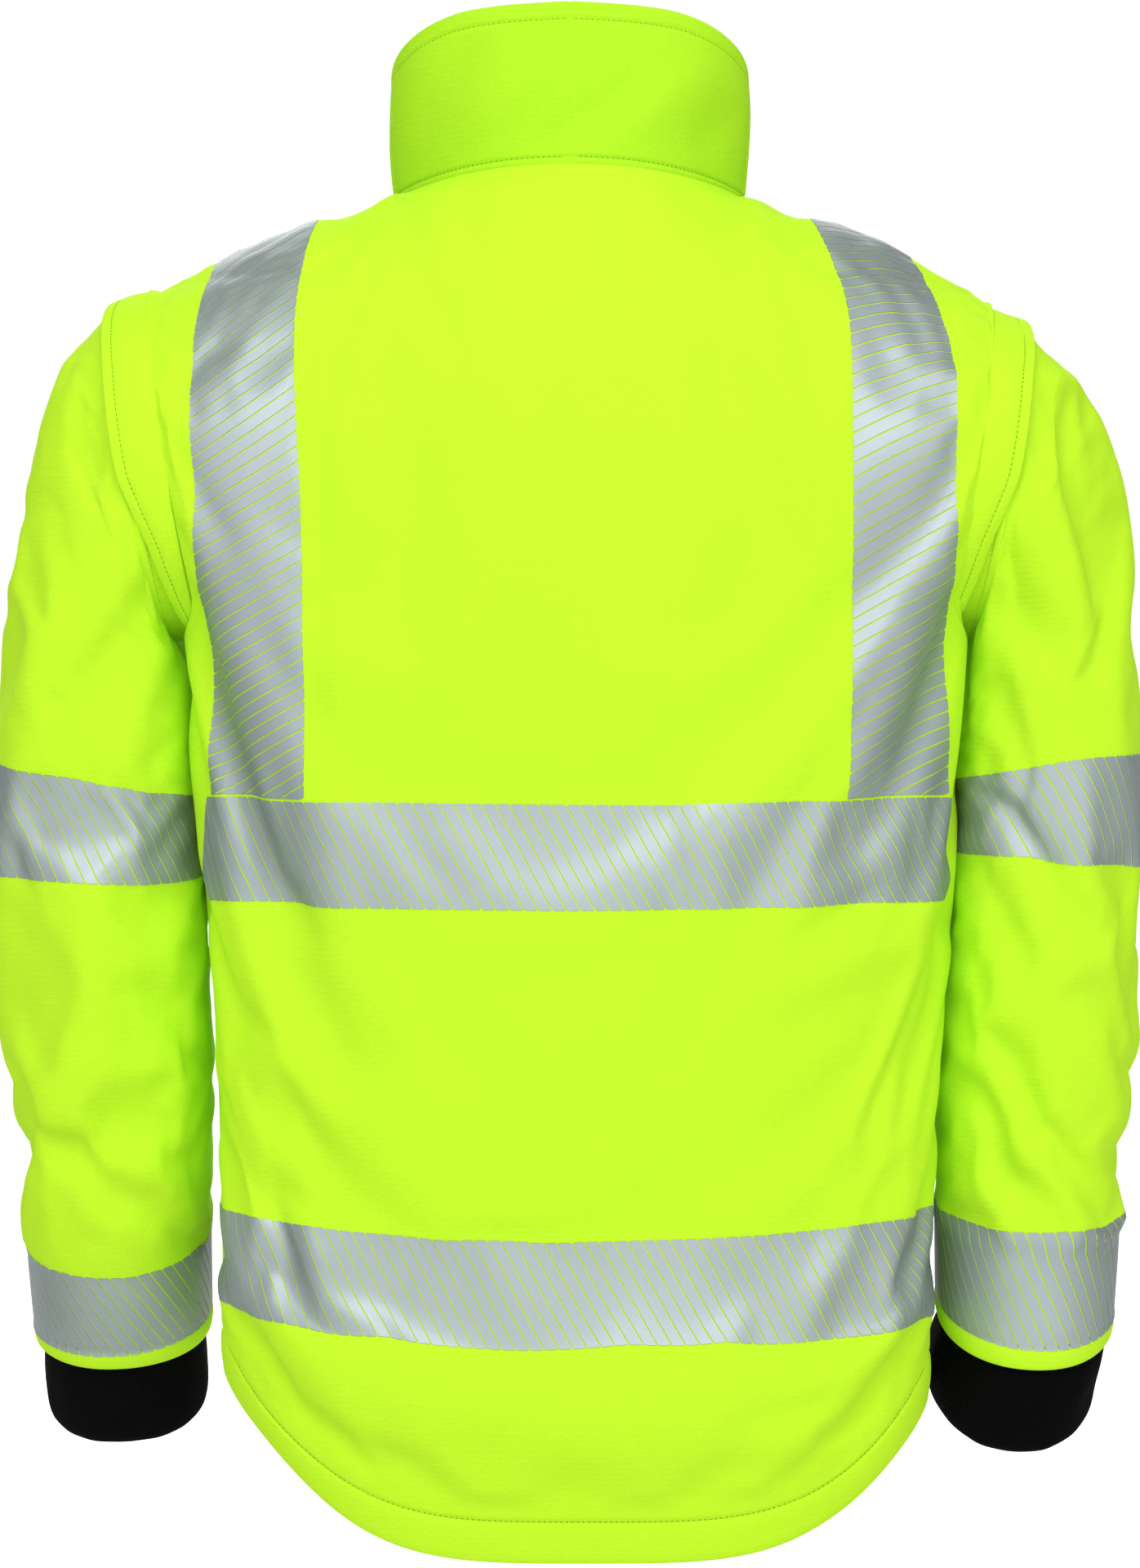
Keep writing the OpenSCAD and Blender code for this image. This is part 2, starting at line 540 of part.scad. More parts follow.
// ---- Front zip: along one straight line from the hem to the collar top
zip_lean = atan(zip_slope);
zip_bottom = -side_drop + 6;
zip_top = neck_front_z + collar_gap + collar_h;
zip_l = (zip_top - zip_bottom) / cos(zip_lean);
zip_slider_z = zip_top - 7;
first_tooth = 13;                 // from the zip bottom
tooth_root = 1.5;
// [x, z] of one tooth within its pitch
tooth = [[tooth_root, 0.2], [teeth_near, 0.5], [teeth_near, 1.6], [tooth_root, 1.9]];

module on_zip(z) translate([0, zip_y(z) - 2.2, z]) rotate([-zip_lean, 0, 0]) children();
module front_zip_tape(left) color(black) on_side(left) on_zip(zip_bottom)
  translate([2.2, -zip_tape_t / 2, 0]) cube([11, zip_tape_t, zip_l]);
module front_zip_teeth(left) {
  count = floor((zip_l - 24) / teeth_pitch);
  end = first_tooth + count * teeth_pitch;
  points = concat([[teeth_far, first_tooth]],
    [for (k = [0:count - 1]) for (corner = tooth) corner + [0, first_tooth + k * teeth_pitch]],
    [[tooth_root, end], [teeth_far, end]]);
  color(teeth_grey) on_side(left) on_zip(zip_bottom)
    translate([0, teeth_t / 2, 0]) rotate([90, 0, 0]) linear_extrude(teeth_t) polygon(points);
}
module zip_post(z, h) translate([0.7, -1, z]) cube([1.4, 2, h]);
module front_zip_pin() color(fitting_grey) on_zip(zip_bottom) zip_post(z = 0.5, h = 12);
module front_zip_box() color(fitting_grey) on_side(false) on_zip(zip_bottom) {
  difference() {
    translate([-3.4, -2.2, 0]) cube([5.5, 4.4, 9]);
    translate([-2.6, -1.4, -1]) cube([2.6, 2.8, 11]);
    translate([-4, -0.8, -1]) cube([3, 1.6, 11]);
  }
  zip_post(z = 8.8, h = 3.8);
}
module front_zip_slider() color(slider_grey) on_zip(zip_slider_z) zip_slider();
module front_zip_pull() color(slider_grey) on_zip(zip_slider_z) pull_tab(length = 34, w = 8);
module front_facing(left) color(lime) on_side(left) on_zip(zip_bottom)
  translate([5.4, 0.9, 0]) cube([10.4, 1.5, zip_l]);
// Strip behind the zip
module storm_flap() color(lime) on_zip(zip_bottom)
  translate([-13, 6.6, 2]) cube([27, 1.2, zip_l - 8]);

// ---- Hand pockets: a straight zip on each front between the bands, with its bag inside
pocket_x = 140;
pocket_z = -444;
pocket_y = torso_y(front, pocket_x, pocket_z) - 6.4;
pocket_yaw = 36;
pocket_pitch = -2.3;
pocket_slider_z = pocket_len / 2 - 10;

module on_pocket(left, z = 0) on_side(left) translate([pocket_x, pocket_y, pocket_z])
  rotate([0, 0, pocket_yaw]) rotate([pocket_pitch, 0, 0]) translate([0, 0, z]) children();
module pocket_zip(left) color(zip_grey) on_pocket(left) {
  for (s = [0, 1]) mirror([s, 0, 0]) {
    translate([1.9, -zip_tape_t / 2, -pocket_len / 2]) cube([5.3, zip_tape_t, pocket_len]);
    translate([teeth_near, -teeth_t / 2, -pocket_len / 2 + 3])
      cube([teeth_w, teeth_t, pocket_len - 6]);
  }
  // end stops
  for (s = [-1, 1])
    translate([-2.4, -teeth_t / 2 - 0.2, s * (pocket_len / 2 - 2.2) - 1.2])
      cube([4.8, teeth_t + 0.4, 2.4]);
}
module pocket_slider(left) color(slider_grey) on_pocket(left, pocket_slider_z) zip_slider();
module pocket_pull(left) color(slider_grey) on_pocket(left, pocket_slider_z)
  pull_tab(length = 24, w = 6.5);
module pocket_bag(left) {
  grid = [for (k = [0:6])
    [for (i = [0:6]) on_torso(front, mix(56, 142, i / 6), mix(-590, -375, k / 6))]];
  color(lime) on_side(left) sheet(grid, -8.2, -5.2);
}

function on(name) = node == "all" || node == name;
if (on("back_panel")) back_panel();
if (on("left_front_panel")) front_panel(true);
if (on("right_front_panel")) front_panel(false);
if (on("collar")) collar();
if (on("collar_facing")) collar_facing();
if (on("hang_loop")) hang_loop();
if (on("hem_facing")) hem_facing();
if (on("hem_drawcord")) hem_drawcord();
if (on("left_cord_lock_barrel")) lock_barrel(true);
if (on("right_cord_lock_barrel")) lock_barrel(false);
if (on("left_cord_lock_plunger")) lock_plunger(true);
if (on("right_cord_lock_plunger")) lock_plunger(false);
if (on("upper_band_back")) back_band(upper_z);
if (on("upper_band_left_front")) front_band(true, upper_z);
if (on("upper_band_right_front")) front_band(false, upper_z);
if (on("lower_band_back")) back_band(lower_z);
if (on("lower_band_left_front")) front_band(true, lower_z);
if (on("lower_band_right_front")) front_band(false, lower_z);
if (on("left_shoulder_tape")) shoulder_tape(true);
if (on("right_shoulder_tape")) shoulder_tape(false);
if (on("left_armhole_cap")) armhole_cap(true);
if (on("right_armhole_cap")) armhole_cap(false);
if (on("left_armhole_stringer")) stringer(true, outward = false);
if (on("right_armhole_stringer")) stringer(false, outward = false);
if (on("left_sleeve_stringer")) stringer(true, outward = true);
if (on("right_sleeve_stringer")) stringer(false, outward = true);
if (on("left_armhole_slider")) armhole_slider(true);
if (on("right_armhole_slider")) armhole_slider(false);
if (on("left_armhole_pull")) armhole_pull(true);
if (on("right_armhole_pull")) armhole_pull(false);
if (on("left_sleeve")) sleeve(true);
if (on("right_sleeve")) sleeve(false);
if (on("left_storm_cuff")) storm_cuff(true);
if (on("right_storm_cuff")) storm_cuff(false);
if (on("left_upper_sleeve_tape")) sleeve_tape(true, upper_sleeve_tape_z);
if (on("right_upper_sleeve_tape")) sleeve_tape(false, upper_sleeve_tape_z);
if (on("left_lower_sleeve_tape")) sleeve_tape(true, lower_sleeve_tape_z);
if (on("right_lower_sleeve_tape")) sleeve_tape(false, lower_sleeve_tape_z);
if (on("front_zip_left_tape")) front_zip_tape(true);
if (on("front_zip_right_tape")) front_zip_tape(false);
if (on("front_zip_left_teeth")) front_zip_teeth(true);
if (on("front_zip_right_teeth")) front_zip_teeth(false);
if (on("front_zip_pin")) front_zip_pin();
if (on("front_zip_box")) front_zip_box();
if (on("front_zip_slider")) front_zip_slider();
if (on("front_zip_pull")) front_zip_pull();
if (on("left_front_facing")) front_facing(true);
if (on("right_front_facing")) front_facing(false);
if (on("storm_flap")) storm_flap();
if (on("left_pocket_zip")) pocket_zip(true);
if (on("right_pocket_zip")) pocket_zip(false);
if (on("left_pocket_slider")) pocket_slider(true);
if (on("right_pocket_slider")) pocket_slider(false);
if (on("left_pocket_pull")) pocket_pull(true);
if (on("right_pocket_pull")) pocket_pull(false);
if (on("left_pocket_bag")) pocket_bag(true);
if (on("right_pocket_bag")) pocket_bag(false);
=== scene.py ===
"""Lime softshell coat with reflective bands, zip-on sleeves, black inner cuffs and a stand collar.

Z is up, +X is the wearer's left and +Y the wearer's back; z = 0 is close to the base of the neck.
Shapes are worked out in millimetres and turned into metres when a mesh is made.
"""
import math

import bmesh
import bpy
import numpy as np
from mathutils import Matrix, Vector


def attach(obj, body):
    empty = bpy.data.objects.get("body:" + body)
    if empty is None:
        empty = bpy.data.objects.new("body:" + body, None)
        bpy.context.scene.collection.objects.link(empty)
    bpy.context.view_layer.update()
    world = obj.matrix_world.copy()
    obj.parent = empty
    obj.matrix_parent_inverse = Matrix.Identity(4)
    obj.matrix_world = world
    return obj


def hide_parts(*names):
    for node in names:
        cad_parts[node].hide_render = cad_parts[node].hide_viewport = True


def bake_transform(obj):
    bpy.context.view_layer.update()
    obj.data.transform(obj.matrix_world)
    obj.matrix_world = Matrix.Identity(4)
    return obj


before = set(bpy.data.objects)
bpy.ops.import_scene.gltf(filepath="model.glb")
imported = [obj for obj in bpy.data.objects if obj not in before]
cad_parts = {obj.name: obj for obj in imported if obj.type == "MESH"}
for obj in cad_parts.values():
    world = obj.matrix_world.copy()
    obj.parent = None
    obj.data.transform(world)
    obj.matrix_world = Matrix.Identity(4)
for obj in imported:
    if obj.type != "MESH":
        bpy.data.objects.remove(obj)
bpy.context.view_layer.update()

MM = 0.001
BODY = "coat_body"
BACK, FRONT = 1, -1      # which face of the coat
LEFT, RIGHT = 1, -1      # which side of the wearer
SIDE_NAME = {LEFT: "left", RIGHT: "right"}


# ------------------------------------------------------------------ numeric helpers
def curve(table, at, column=1):
    """Smooth cubic lookup of a column in a table whose first column is the key."""
    table = np.asarray(table, float)
    keys, values = table[:, 0], table[:, column]
    at = np.clip(np.asarray(at, float), keys[0], keys[-1])
    k = np.clip(np.searchsorted(keys, at, side="right") - 1, 0, len(keys) - 2)
    slope = np.empty(len(keys))
    slope[0] = (values[1] - values[0]) / (keys[1] - keys[0])
    slope[-1] = (values[-1] - values[-2]) / (keys[-1] - keys[-2])
    slope[1:-1] = (values[2:] - values[:-2]) / (keys[2:] - keys[:-2])
    span = keys[k + 1] - keys[k]
    t = (at - keys[k]) / span
    return ((2 * t**3 - 3 * t**2 + 1) * values[k] + (t**3 - 2 * t**2 + t) * slope[k] * span
            + (3 * t**2 - 2 * t**3) * values[k + 1] + (t**3 - t**2) * slope[k + 1] * span)


def smooth(t):
    """Ease from 0 to 1 as t goes from 0 to 1."""
    t = np.clip(t, 0, 1)
    return t * t * (3 - 2 * t)


def bump(x, centre, width):
    return np.exp(-((x - centre) / width) ** 2)


def unit(vectors):
    size = np.linalg.norm(vectors, axis=-1, keepdims=True)
    return vectors / np.maximum(size, 1e-9)


def mix(first, second, share):
    return first + (second - first) * share


def signed_power(value, power):
    return np.sign(value) * np.abs(value) ** power


def around(count):
    """Evenly spaced angles of one full turn."""
    return np.arange(count) * 2 * np.pi / count


def lengths(pts):
    """Distance along a polyline at each of its points."""
    return np.concatenate([[0], np.cumsum(np.linalg.norm(np.diff(pts, axis=0), axis=1))])


def between(values, low, high):
    return np.where((values >= low) & (values <= high))[0]


# ------------------------------------------------------------------ torso surface
NECK_HALF = 90.0
SHOULDER_END = 213.0
SHOULDER_FALL = 0.395
ARM_X, ARM_Z, ARM_RADIUS = 203.0, -147.0, 93.0    # armhole centre and radius
ARM_TILT = math.radians(8.5)
HEM_HALF = 178.0
FRONT_DROP = 617.0       # centre front hem below z = 0
HEM_RISE = 8.0           # the hem is this much higher at the side seams
TAIL = 70.5              # the back hem hangs this much lower
ZIP_SLOPE = 0.078
YOKE_Z = -170.0          # above this height the torso closes in to the shoulders
YOKE_ROW = 0.55          # row parameter at that height
CLOSE_POWER = 2.2
ARC_POWER = 1.1
COLUMN_POWER = 0.77

# height, half width
HALF_WIDTH = [
    [-690, 175], [-640, 178.5], [-617, 179.6], [-592, 180.6], [-533, 181.2], [-491, 182.1],
    [-449, 183.5], [-407, 186], [-366, 189.1], [-317, 193], [-280, 195.5], [-235, 197]]
# height, depth of the back
BACK_DEPTH = [
    [-690, 104], [-640, 107], [-600, 108], [-540, 105], [-470, 104], [-400, 108], [-300, 115],
    [-200, 118], [-120, 116], [0, 104], [60, 100]]
# height, power of the rounded outline
SQUARENESS = [[-690, 2.5], [-400, 2.55], [-300, 2.7], [-240, 3.1], [-150, 3.8], [60, 4]]


def ridge(x):
    """Height of the shoulder line."""
    x = np.abs(x)
    past = np.maximum(0, x - NECK_HALF)
    neck = np.maximum(0, 1 - (x / NECK_HALF) ** 2)
    return (-8 - SHOULDER_FALL * (0.62 * past + 0.38 * past * past / 118) + 11 * neck
            + 42 * neck * neck - 3.0 * bump(x, 112, 15))


SHOULDER_Z = -8 - SHOULDER_FALL * (SHOULDER_END - NECK_HALF)


def closing(x, z):
    """Share of the depth left above the yoke height."""
    rise = np.clip((z - YOKE_Z) / (ridge(x) - YOKE_Z), 0, 1)
    return np.where(z <= YOKE_Z, 1.0, (1 - rise**CLOSE_POWER) ** (1 / CLOSE_POWER))


def zip_y(z):
    return -(126 - ZIP_SLOPE * (z + FRONT_DROP))


def edge_x(z):
    """Half width at the side seam, and along the armhole plane above it."""
    plane = ARM_X + (z - ARM_Z) * math.tan(ARM_TILT) - 3 / math.cos(ARM_TILT)
    plane = np.minimum(plane, SHOULDER_END)
    seam = curve(HALF_WIDTH, z)
    blended = mix(seam, plane, smooth((z - ARM_Z + ARM_RADIUS) / 30))
    upper = np.where(z > SHOULDER_Z, SHOULDER_END, blended)
    return np.where(z < ARM_Z - ARM_RADIUS, seam, upper)


def chest(x, z):
    return 1 + 0.14 * smooth((np.abs(x) - 20) / 60) * bump(z, -150, 85)


def depth(face, x, z, most):
    if face == BACK:
        return curve(BACK_DEPTH, z) * closing(x, z)
    share = np.minimum(most, closing(x, z) / np.maximum(0.01, closing(0.0, z)))
    return -zip_y(z) * chest(x, z) * share


def torso_y(face, x, z):
    """The outline is widened so that at the side it still reaches the armhole's own depth."""
    power = curve(SQUARENESS, z)
    arm_y = np.sqrt(np.maximum(0, ARM_RADIUS**2 - (z - ARM_Z) ** 2))
    side = np.minimum(0.93, arm_y / np.maximum(1, depth(face, ARM_X, z, 1)))
    width = edge_x(z) / (1 - side**power) ** (1 / power)
    across = np.minimum(1, np.abs(x) / width)
    return face * depth(face, x, z, 1.2) * (1 - across**power) ** (1 / power)


def neck_z(face, x):
    across = np.minimum(np.abs(x) / NECK_HALF, 1)
    return -8 * across**2 if face == BACK else -45 + 37 * across**2.6


def hem_z(face, x):
    across = np.minimum(1, np.abs(x) / HEM_HALF)
    if face == BACK:
        return -FRONT_DROP - TAIL + (TAIL + HEM_RISE) * across**4.1
    return -FRONT_DROP + HEM_RISE * across**2.4


def top_arc(face, x):
    """Shoulder height over x, and the angle at which the upper rows end there."""
    crest = ridge(x)
    share = np.clip((neck_z(face, x) - YOKE_Z) / (crest - YOKE_Z), 0, 1)
    return crest, np.where(x >= NECK_HALF, np.pi / 2, np.arcsin(share**ARC_POWER))


def torso_xz(face, start, col, row):
    """Column 0 is at x = start and 1 at the side; row 0 is the hem, 1 the shoulder or neck."""
    share = np.sin(np.pi / 2 * col) ** COLUMN_POWER
    crest, end = top_arc(face, start + (SHOULDER_END - start) * share)
    low = mix(hem_z(face, start + (HEM_HALF - start) * share), YOKE_Z, row / YOKE_ROW)
    turn = np.clip(end * (row - YOKE_ROW) / (1 - YOKE_ROW), 0, np.pi / 2)
    high = YOKE_Z + (crest - YOKE_Z) * np.sin(turn) ** (1 / ARC_POWER)
    z = np.where(row < YOKE_ROW, low, high)
    return start + (edge_x(z) - start) * share, z


def torso_params(face, start, x, z):
    """Inverse of torso_xz: column and row for x at or beyond start."""
    share = np.clip((x - start) / (edge_x(z) - start), 0, 1)
    col = np.arcsin(share ** (1 / COLUMN_POWER)) * 2 / np.pi
    crest, end = top_arc(face, start + (SHOULDER_END - start) * share)
    hem = hem_z(face, start + (HEM_HALF - start) * share)
    low = YOKE_ROW * (z - hem) / (YOKE_Z - hem)
    rise = np.clip((z - YOKE_Z) / (crest - YOKE_Z), 0, 1) ** ARC_POWER
    high = YOKE_ROW + (1 - YOKE_ROW) * np.arcsin(rise) / np.maximum(end, 1e-6)
    return col, np.where(z < YOKE_Z, low, high)


def droop(pts):
    """The wearer's right shoulder end hangs a little lower."""
    x, z = pts[..., 0], pts[..., 2]
    pts = pts.copy()
    fall = 4.5 * smooth((-x - 150) / 45) + 3.5 * smooth((-x - 200) / 25)
    pts[..., 2] = z - fall * smooth((z + 112) / 38)
    return pts


def hang(pts):
    """The coat hangs a little off centre and its hem is higher on the wearer's left."""
    pts = droop(pts)
    z = pts[..., 2].copy()
    pts[..., 2] = z + 7.0 * (pts[..., 0] / HEM_HALF) ** 3 * smooth((-z - 520) / 90)
    pts[..., 0] -= 3.2 * smooth((-z - 40) / 220) + 2.4 * smooth((-z - 605) / 60)
    return pts


# ------------------------------------------------------------------ surface patches
def bilinear(grid, row, col, loop):
    """Grid values at fractional rows and columns; in a loop the last column meets the first."""
    row_count, col_count = grid.shape[:2]
    i = np.clip(np.floor(row).astype(int), 0, row_count - 2)
    j = np.floor(col).astype(int)
    if not loop:
        j = np.clip(j, 0, col_count - 2)
    up = (row - i)[..., None]
    over = (col - j)[..., None]
    here, beside = j % col_count, (j + 1) % col_count
    return (grid[i, here] * (1 - up) * (1 - over) + grid[i + 1, here] * up * (1 - over)
            + grid[i, beside] * (1 - up) * over + grid[i + 1, beside] * up * over)


class Patch:
    """A grid of surface points whose normals are cross(column, row).

    rows and cols hold the parameter of each row and column. If away is given, the normals
    are turned to point along it.
    """

    def __init__(self, pts, rows=None, cols=None, loop=False, away=None):
        self.loop, self.rows, self.cols = loop, rows, cols
        self.pts, self.sign = pts, 1
        self.move(0)
        if away is not None and (away * self.nrm).sum() < 0:
            self.sign = -1
            self.nrm = -self.nrm

    def move(self, offset):
        self.pts = self.pts + offset
        row_step = np.gradient(self.pts, axis=0)
        if self.loop:
            col_step = (np.roll(self.pts, -1, 1) - np.roll(self.pts, 1, 1)) / 2
        else:
            col_step = np.gradient(self.pts, axis=1)
        self.nrm = self.sign * unit(np.cross(col_step, row_step))

    def displace(self, height):
        self.move(self.nrm * height[..., None])

    def at(self, row_at, col_at, lift=0.0):
        """Points and normals at parameter values, lifted off the surface."""
        row_at, col_at = np.broadcast_arrays(row_at, col_at)
        row = np.interp(row_at, self.rows, np.arange(len(self.rows)))
        if self.loop:
            col = (col_at % 1.0) * self.pts.shape[1]
        else:
            col = np.interp(col_at, self.cols, np.arange(len(self.cols)))
        normal = unit(bilinear(self.nrm, row, col, self.loop))
        lift = np.asarray(lift)[..., None]
        return bilinear(self.pts, row, col, self.loop) + normal * lift, normal


# ------------------------------------------------------------------ mesh making
def make(name, verts, faces, materials, shading="smooth"):
    """Object from millimetre points; shading is "smooth", "flat" or "film" (welded)."""
    mesh = bpy.data.meshes.new(name)
    points = (np.asarray(verts, float) * MM).tolist()
    mesh.from_pydata(points, [], [list(map(int, face)) for face in faces])
    mesh.update()
    edit = bmesh.new()
    edit.from_mesh(mesh)
    if shading == "film":
        # bars cut off by the end of a strip can fold flat
        bmesh.ops.remove_doubles(edit, verts=edit.verts, dist=2e-5)
        bmesh.ops.dissolve_degenerate(edit, edges=edit.edges, dist=1e-5)
        for face in edit.faces:
            face.smooth = True
    bmesh.ops.recalc_face_normals(edit, faces=edit.faces)
    edit.to_mesh(mesh)
    edit.free()
    if shading == "smooth":
        mesh.polygons.foreach_set("use_smooth", [True] * len(mesh.polygons))
    if shading == "film":
        mesh.set_sharp_from_angle(angle=math.radians(40))
    mesh.update()
    ob = bpy.data.objects.new(name, mesh)
    bpy.context.scene.collection.objects.link(ob)
    for material in materials:
        mesh.materials.append(material)
    return ob


def place(ob, rides, node=None):
    """Place a piece: rides is a body's name, whose empty it is parented to, or a side for pieces that
    open with a front, whose transform is baked in.
    """
    if rides in (LEFT, RIGHT):
        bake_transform(ob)
    else:
        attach(ob, rides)
    if node:
        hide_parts(node)


def quads(row_count, col_count, loop=False):
    across = col_count if loop else col_count - 1
    i, j = np.meshgrid(np.arange(row_count - 1), np.arange(across), indexing="ij")
    k = (j + 1) % col_count
    low, high = i * col_count, (i + 1) * col_count
    return np.stack([low + j, low + k, high + k, high + j], -1).reshape(-1, 4)


def join(first, second):
    """Faces between two closed rings of vertex numbers."""
    return np.stack([first, np.roll(first, -1, -1), np.roll(second, -1, -1), second], -1)


def border(row_count, col_count):
    """Vertex numbers round the edge of a grid."""
    index = np.arange(row_count * col_count).reshape(row_count, col_count)
    return np.concatenate([index[0, :-1], index[:-1, -1], index[-1, :0:-1], index[:0:-1, 0]])


def repeat(faces, count, step):
    """The faces of one part repeated for count parts of step vertices each."""
    shift = (np.arange(count) * step)[:, None, None]
    return (np.asarray(faces)[None] + shift).reshape(-1, len(faces[0]))


def shell(name, pts, nrm, thick, material, loop=False, rim=3, lining=None):
    """Closed cloth under a grid of points, with a rounded rim on every open edge."""
    rows, cols = pts.shape[:2]
    total = rows * cols
    thick = np.broadcast_to(np.asarray(thick, float), (rows, cols))
    verts = [pts.reshape(-1, 3), (pts - nrm * thick[..., None]).reshape(-1, 3)]
    outer = quads(rows, cols, loop)
    faces = [outer, outer[:, ::-1] + total]
    if loop:
        edges = [np.arange(cols), np.arange(cols) + total - cols]
    else:
        edges = [border(rows, cols)]
    used = 2 * total
    for edge in edges:
        top, bottom = verts[0][edge], verts[1][edge]
        up = nrm.reshape(-1, 3)[edge]
        half = thick.reshape(-1)[edge][:, None] / 2
        out = unit(np.cross(unit(np.roll(top, -1, 0) - np.roll(top, 1, 0)), up))
        # outward is away from the neighbouring ring of the grid
        inside = pts[np.clip(edge // cols, 1, rows - 2), np.clip(edge % cols, 1, cols - 2)]
        if (((top - inside) * out).sum(1) < 0).mean() > 0.5:
            out = -out
        last = edge
        for k in range(1, rim + 1):
            angle = math.pi * k / (rim + 1)
            verts.append((top + bottom) / 2 + half * (math.cos(angle) * up + math.sin(angle) * out))
            ring = used + np.arange(len(edge))
            used += len(edge)
            faces.append(join(last, ring))
            last = ring
        faces.append(join(last, edge + total))
    materials = [material, lining] if lining else [material]
    ob = make(name, np.concatenate(verts), np.concatenate(faces), materials)
    if lining:
        slots = np.zeros(len(ob.data.polygons), int)
        slots[len(outer):2 * len(outer)] = 1
        ob.data.polygons.foreach_set("material_index", slots)
    return ob


def patch_shell(name, patch, thick, material, **options):
    return shell(name, patch.pts, patch.nrm, thick, material, loop=patch.loop, **options)


# ------------------------------------------------------------------ materials
def set_values(node, values):
    for socket, value in values.items():
        node.inputs[socket].default_value = value


def add_node(tree, kind, values={}, links={}, **settings):
    """Add a shader node with {socket: value}, {socket: source output} and settings."""
    node = tree.nodes.new("ShaderNode" + kind)
    for key, value in settings.items():
        setattr(node, key, value)
    set_values(node, values)
    for socket, source in links.items():
        tree.links.new(source, node.inputs[socket])
    return node


def new_material(name):
    material = bpy.data.materials.new(name)
    material.use_nodes = True
    tree = material.node_tree
    return material, tree, tree.nodes["Principled BSDF"]


def add_noise(tree, vector, scale, detail, roughness=0.5):
    values = {"Scale": scale, "Detail": detail, "Roughness": roughness}
    return add_node(tree, "TexNoise", values, {0: vector}).outputs[0]


def remap(tree, source, low, high, from_low=0.3, from_high=0.7):
    values = {1: from_low, 2: from_high, 3: low, 4: high}
    return add_node(tree, "MapRange", values, {0: source}).outputs[0]


def combine(tree, operation, first, second):
    node = add_node(tree, "Math", links={0: first, 1: second}, operation=operation)
    return node.outputs[0]


def mix_colour(tree, share, first, second):
    node = add_node(tree, "Mix", {}, {0: share}, data_type="RGBA")
    set_values(node, {6: (*first, 1), 7: (*second, 1)})
    return node.outputs[2]


def add_bump(tree, shader, height, strength, distance):
    node = add_node(tree, "Bump", {"Strength": strength, "Distance": distance}, {"Height": height})
    tree.links.new(node.outputs[0], shader.inputs["Normal"])


def cloth_material(name, lit, shade, glow=0, scale=900.0, bump_strength=0.25, sheen=0.2,
                   knit=True, blotch=0.25, specular=0.12):
    """Heathered cloth: broad blotches, fine grain and, for a knit, crossed rows of loops."""
    material, tree, shader = new_material(name)
    coords = add_node(tree, "TexCoord").outputs["Object"]
    vector = add_node(tree, "Mapping", links={0: coords}).outputs[0]
    blotches = add_noise(tree, vector, scale=9.0, detail=3.0)
    grain = add_noise(tree, vector, scale=scale * 0.8, detail=2.0, roughness=0.6)
    shading = combine(tree, "ADD", remap(tree, blotches, low=0.0, high=blotch),
                      remap(tree, grain, low=0.0, high=0.35, from_high=0.75))
    colour = mix_colour(tree, shading, lit, shade)
    tree.links.new(colour, shader.inputs["Base Color"])
    set_values(shader, {"Roughness": 0.85, "Specular IOR Level": specular, "Sheen Weight": sheen,
                        "Sheen Roughness": 0.6, "Sheen Tint": (*lit, 1)})
    if glow:
        tree.links.new(colour, shader.inputs["Emission Color"])
        shader.inputs["Emission Strength"].default_value = glow
    height = grain
    if knit:
        slanted = {"Scale": scale / 6.5, "Distortion": 2.5, "Detail": 1.0, "Detail Scale": 3.0}
        level = {"Scale": scale / 8.0, "Distortion": 3.0, "Detail": 1.0}
        waves = [add_node(tree, "TexWave", values, {0: vector}, bands_direction=way)
                 for values, way in ((slanted, "DIAGONAL"), (level, "Z"))]
        loops = combine(tree, "MULTIPLY", *[wave.outputs["Fac"] for wave in waves])
        height = combine(tree, "ADD", loops, grain)
    add_bump(tree, shader, height, strength=bump_strength, distance=0.0004)
    return material


def plastic_material(name, colour, roughness, metallic=0.0):
    material, tree, shader = new_material(name)
    coords = add_node(tree, "TexCoord").outputs["Object"]
    grain = add_noise(tree, coords, scale=700.0, detail=3.0)
    rough = remap(tree, grain, low=roughness - 0.08, high=roughness + 0.12)
    tree.links.new(rough, shader.inputs["Roughness"])
    lighter = [min(1, part * 1.6 + 0.01) for part in colour]
    tree.links.new(mix_colour(tree, grain, colour, lighter), shader.inputs["Base Color"])
    shader.inputs["Metallic"].default_value = metallic
    add_bump(tree, shader, grain, strength=0.05, distance=0.0002)
    return material


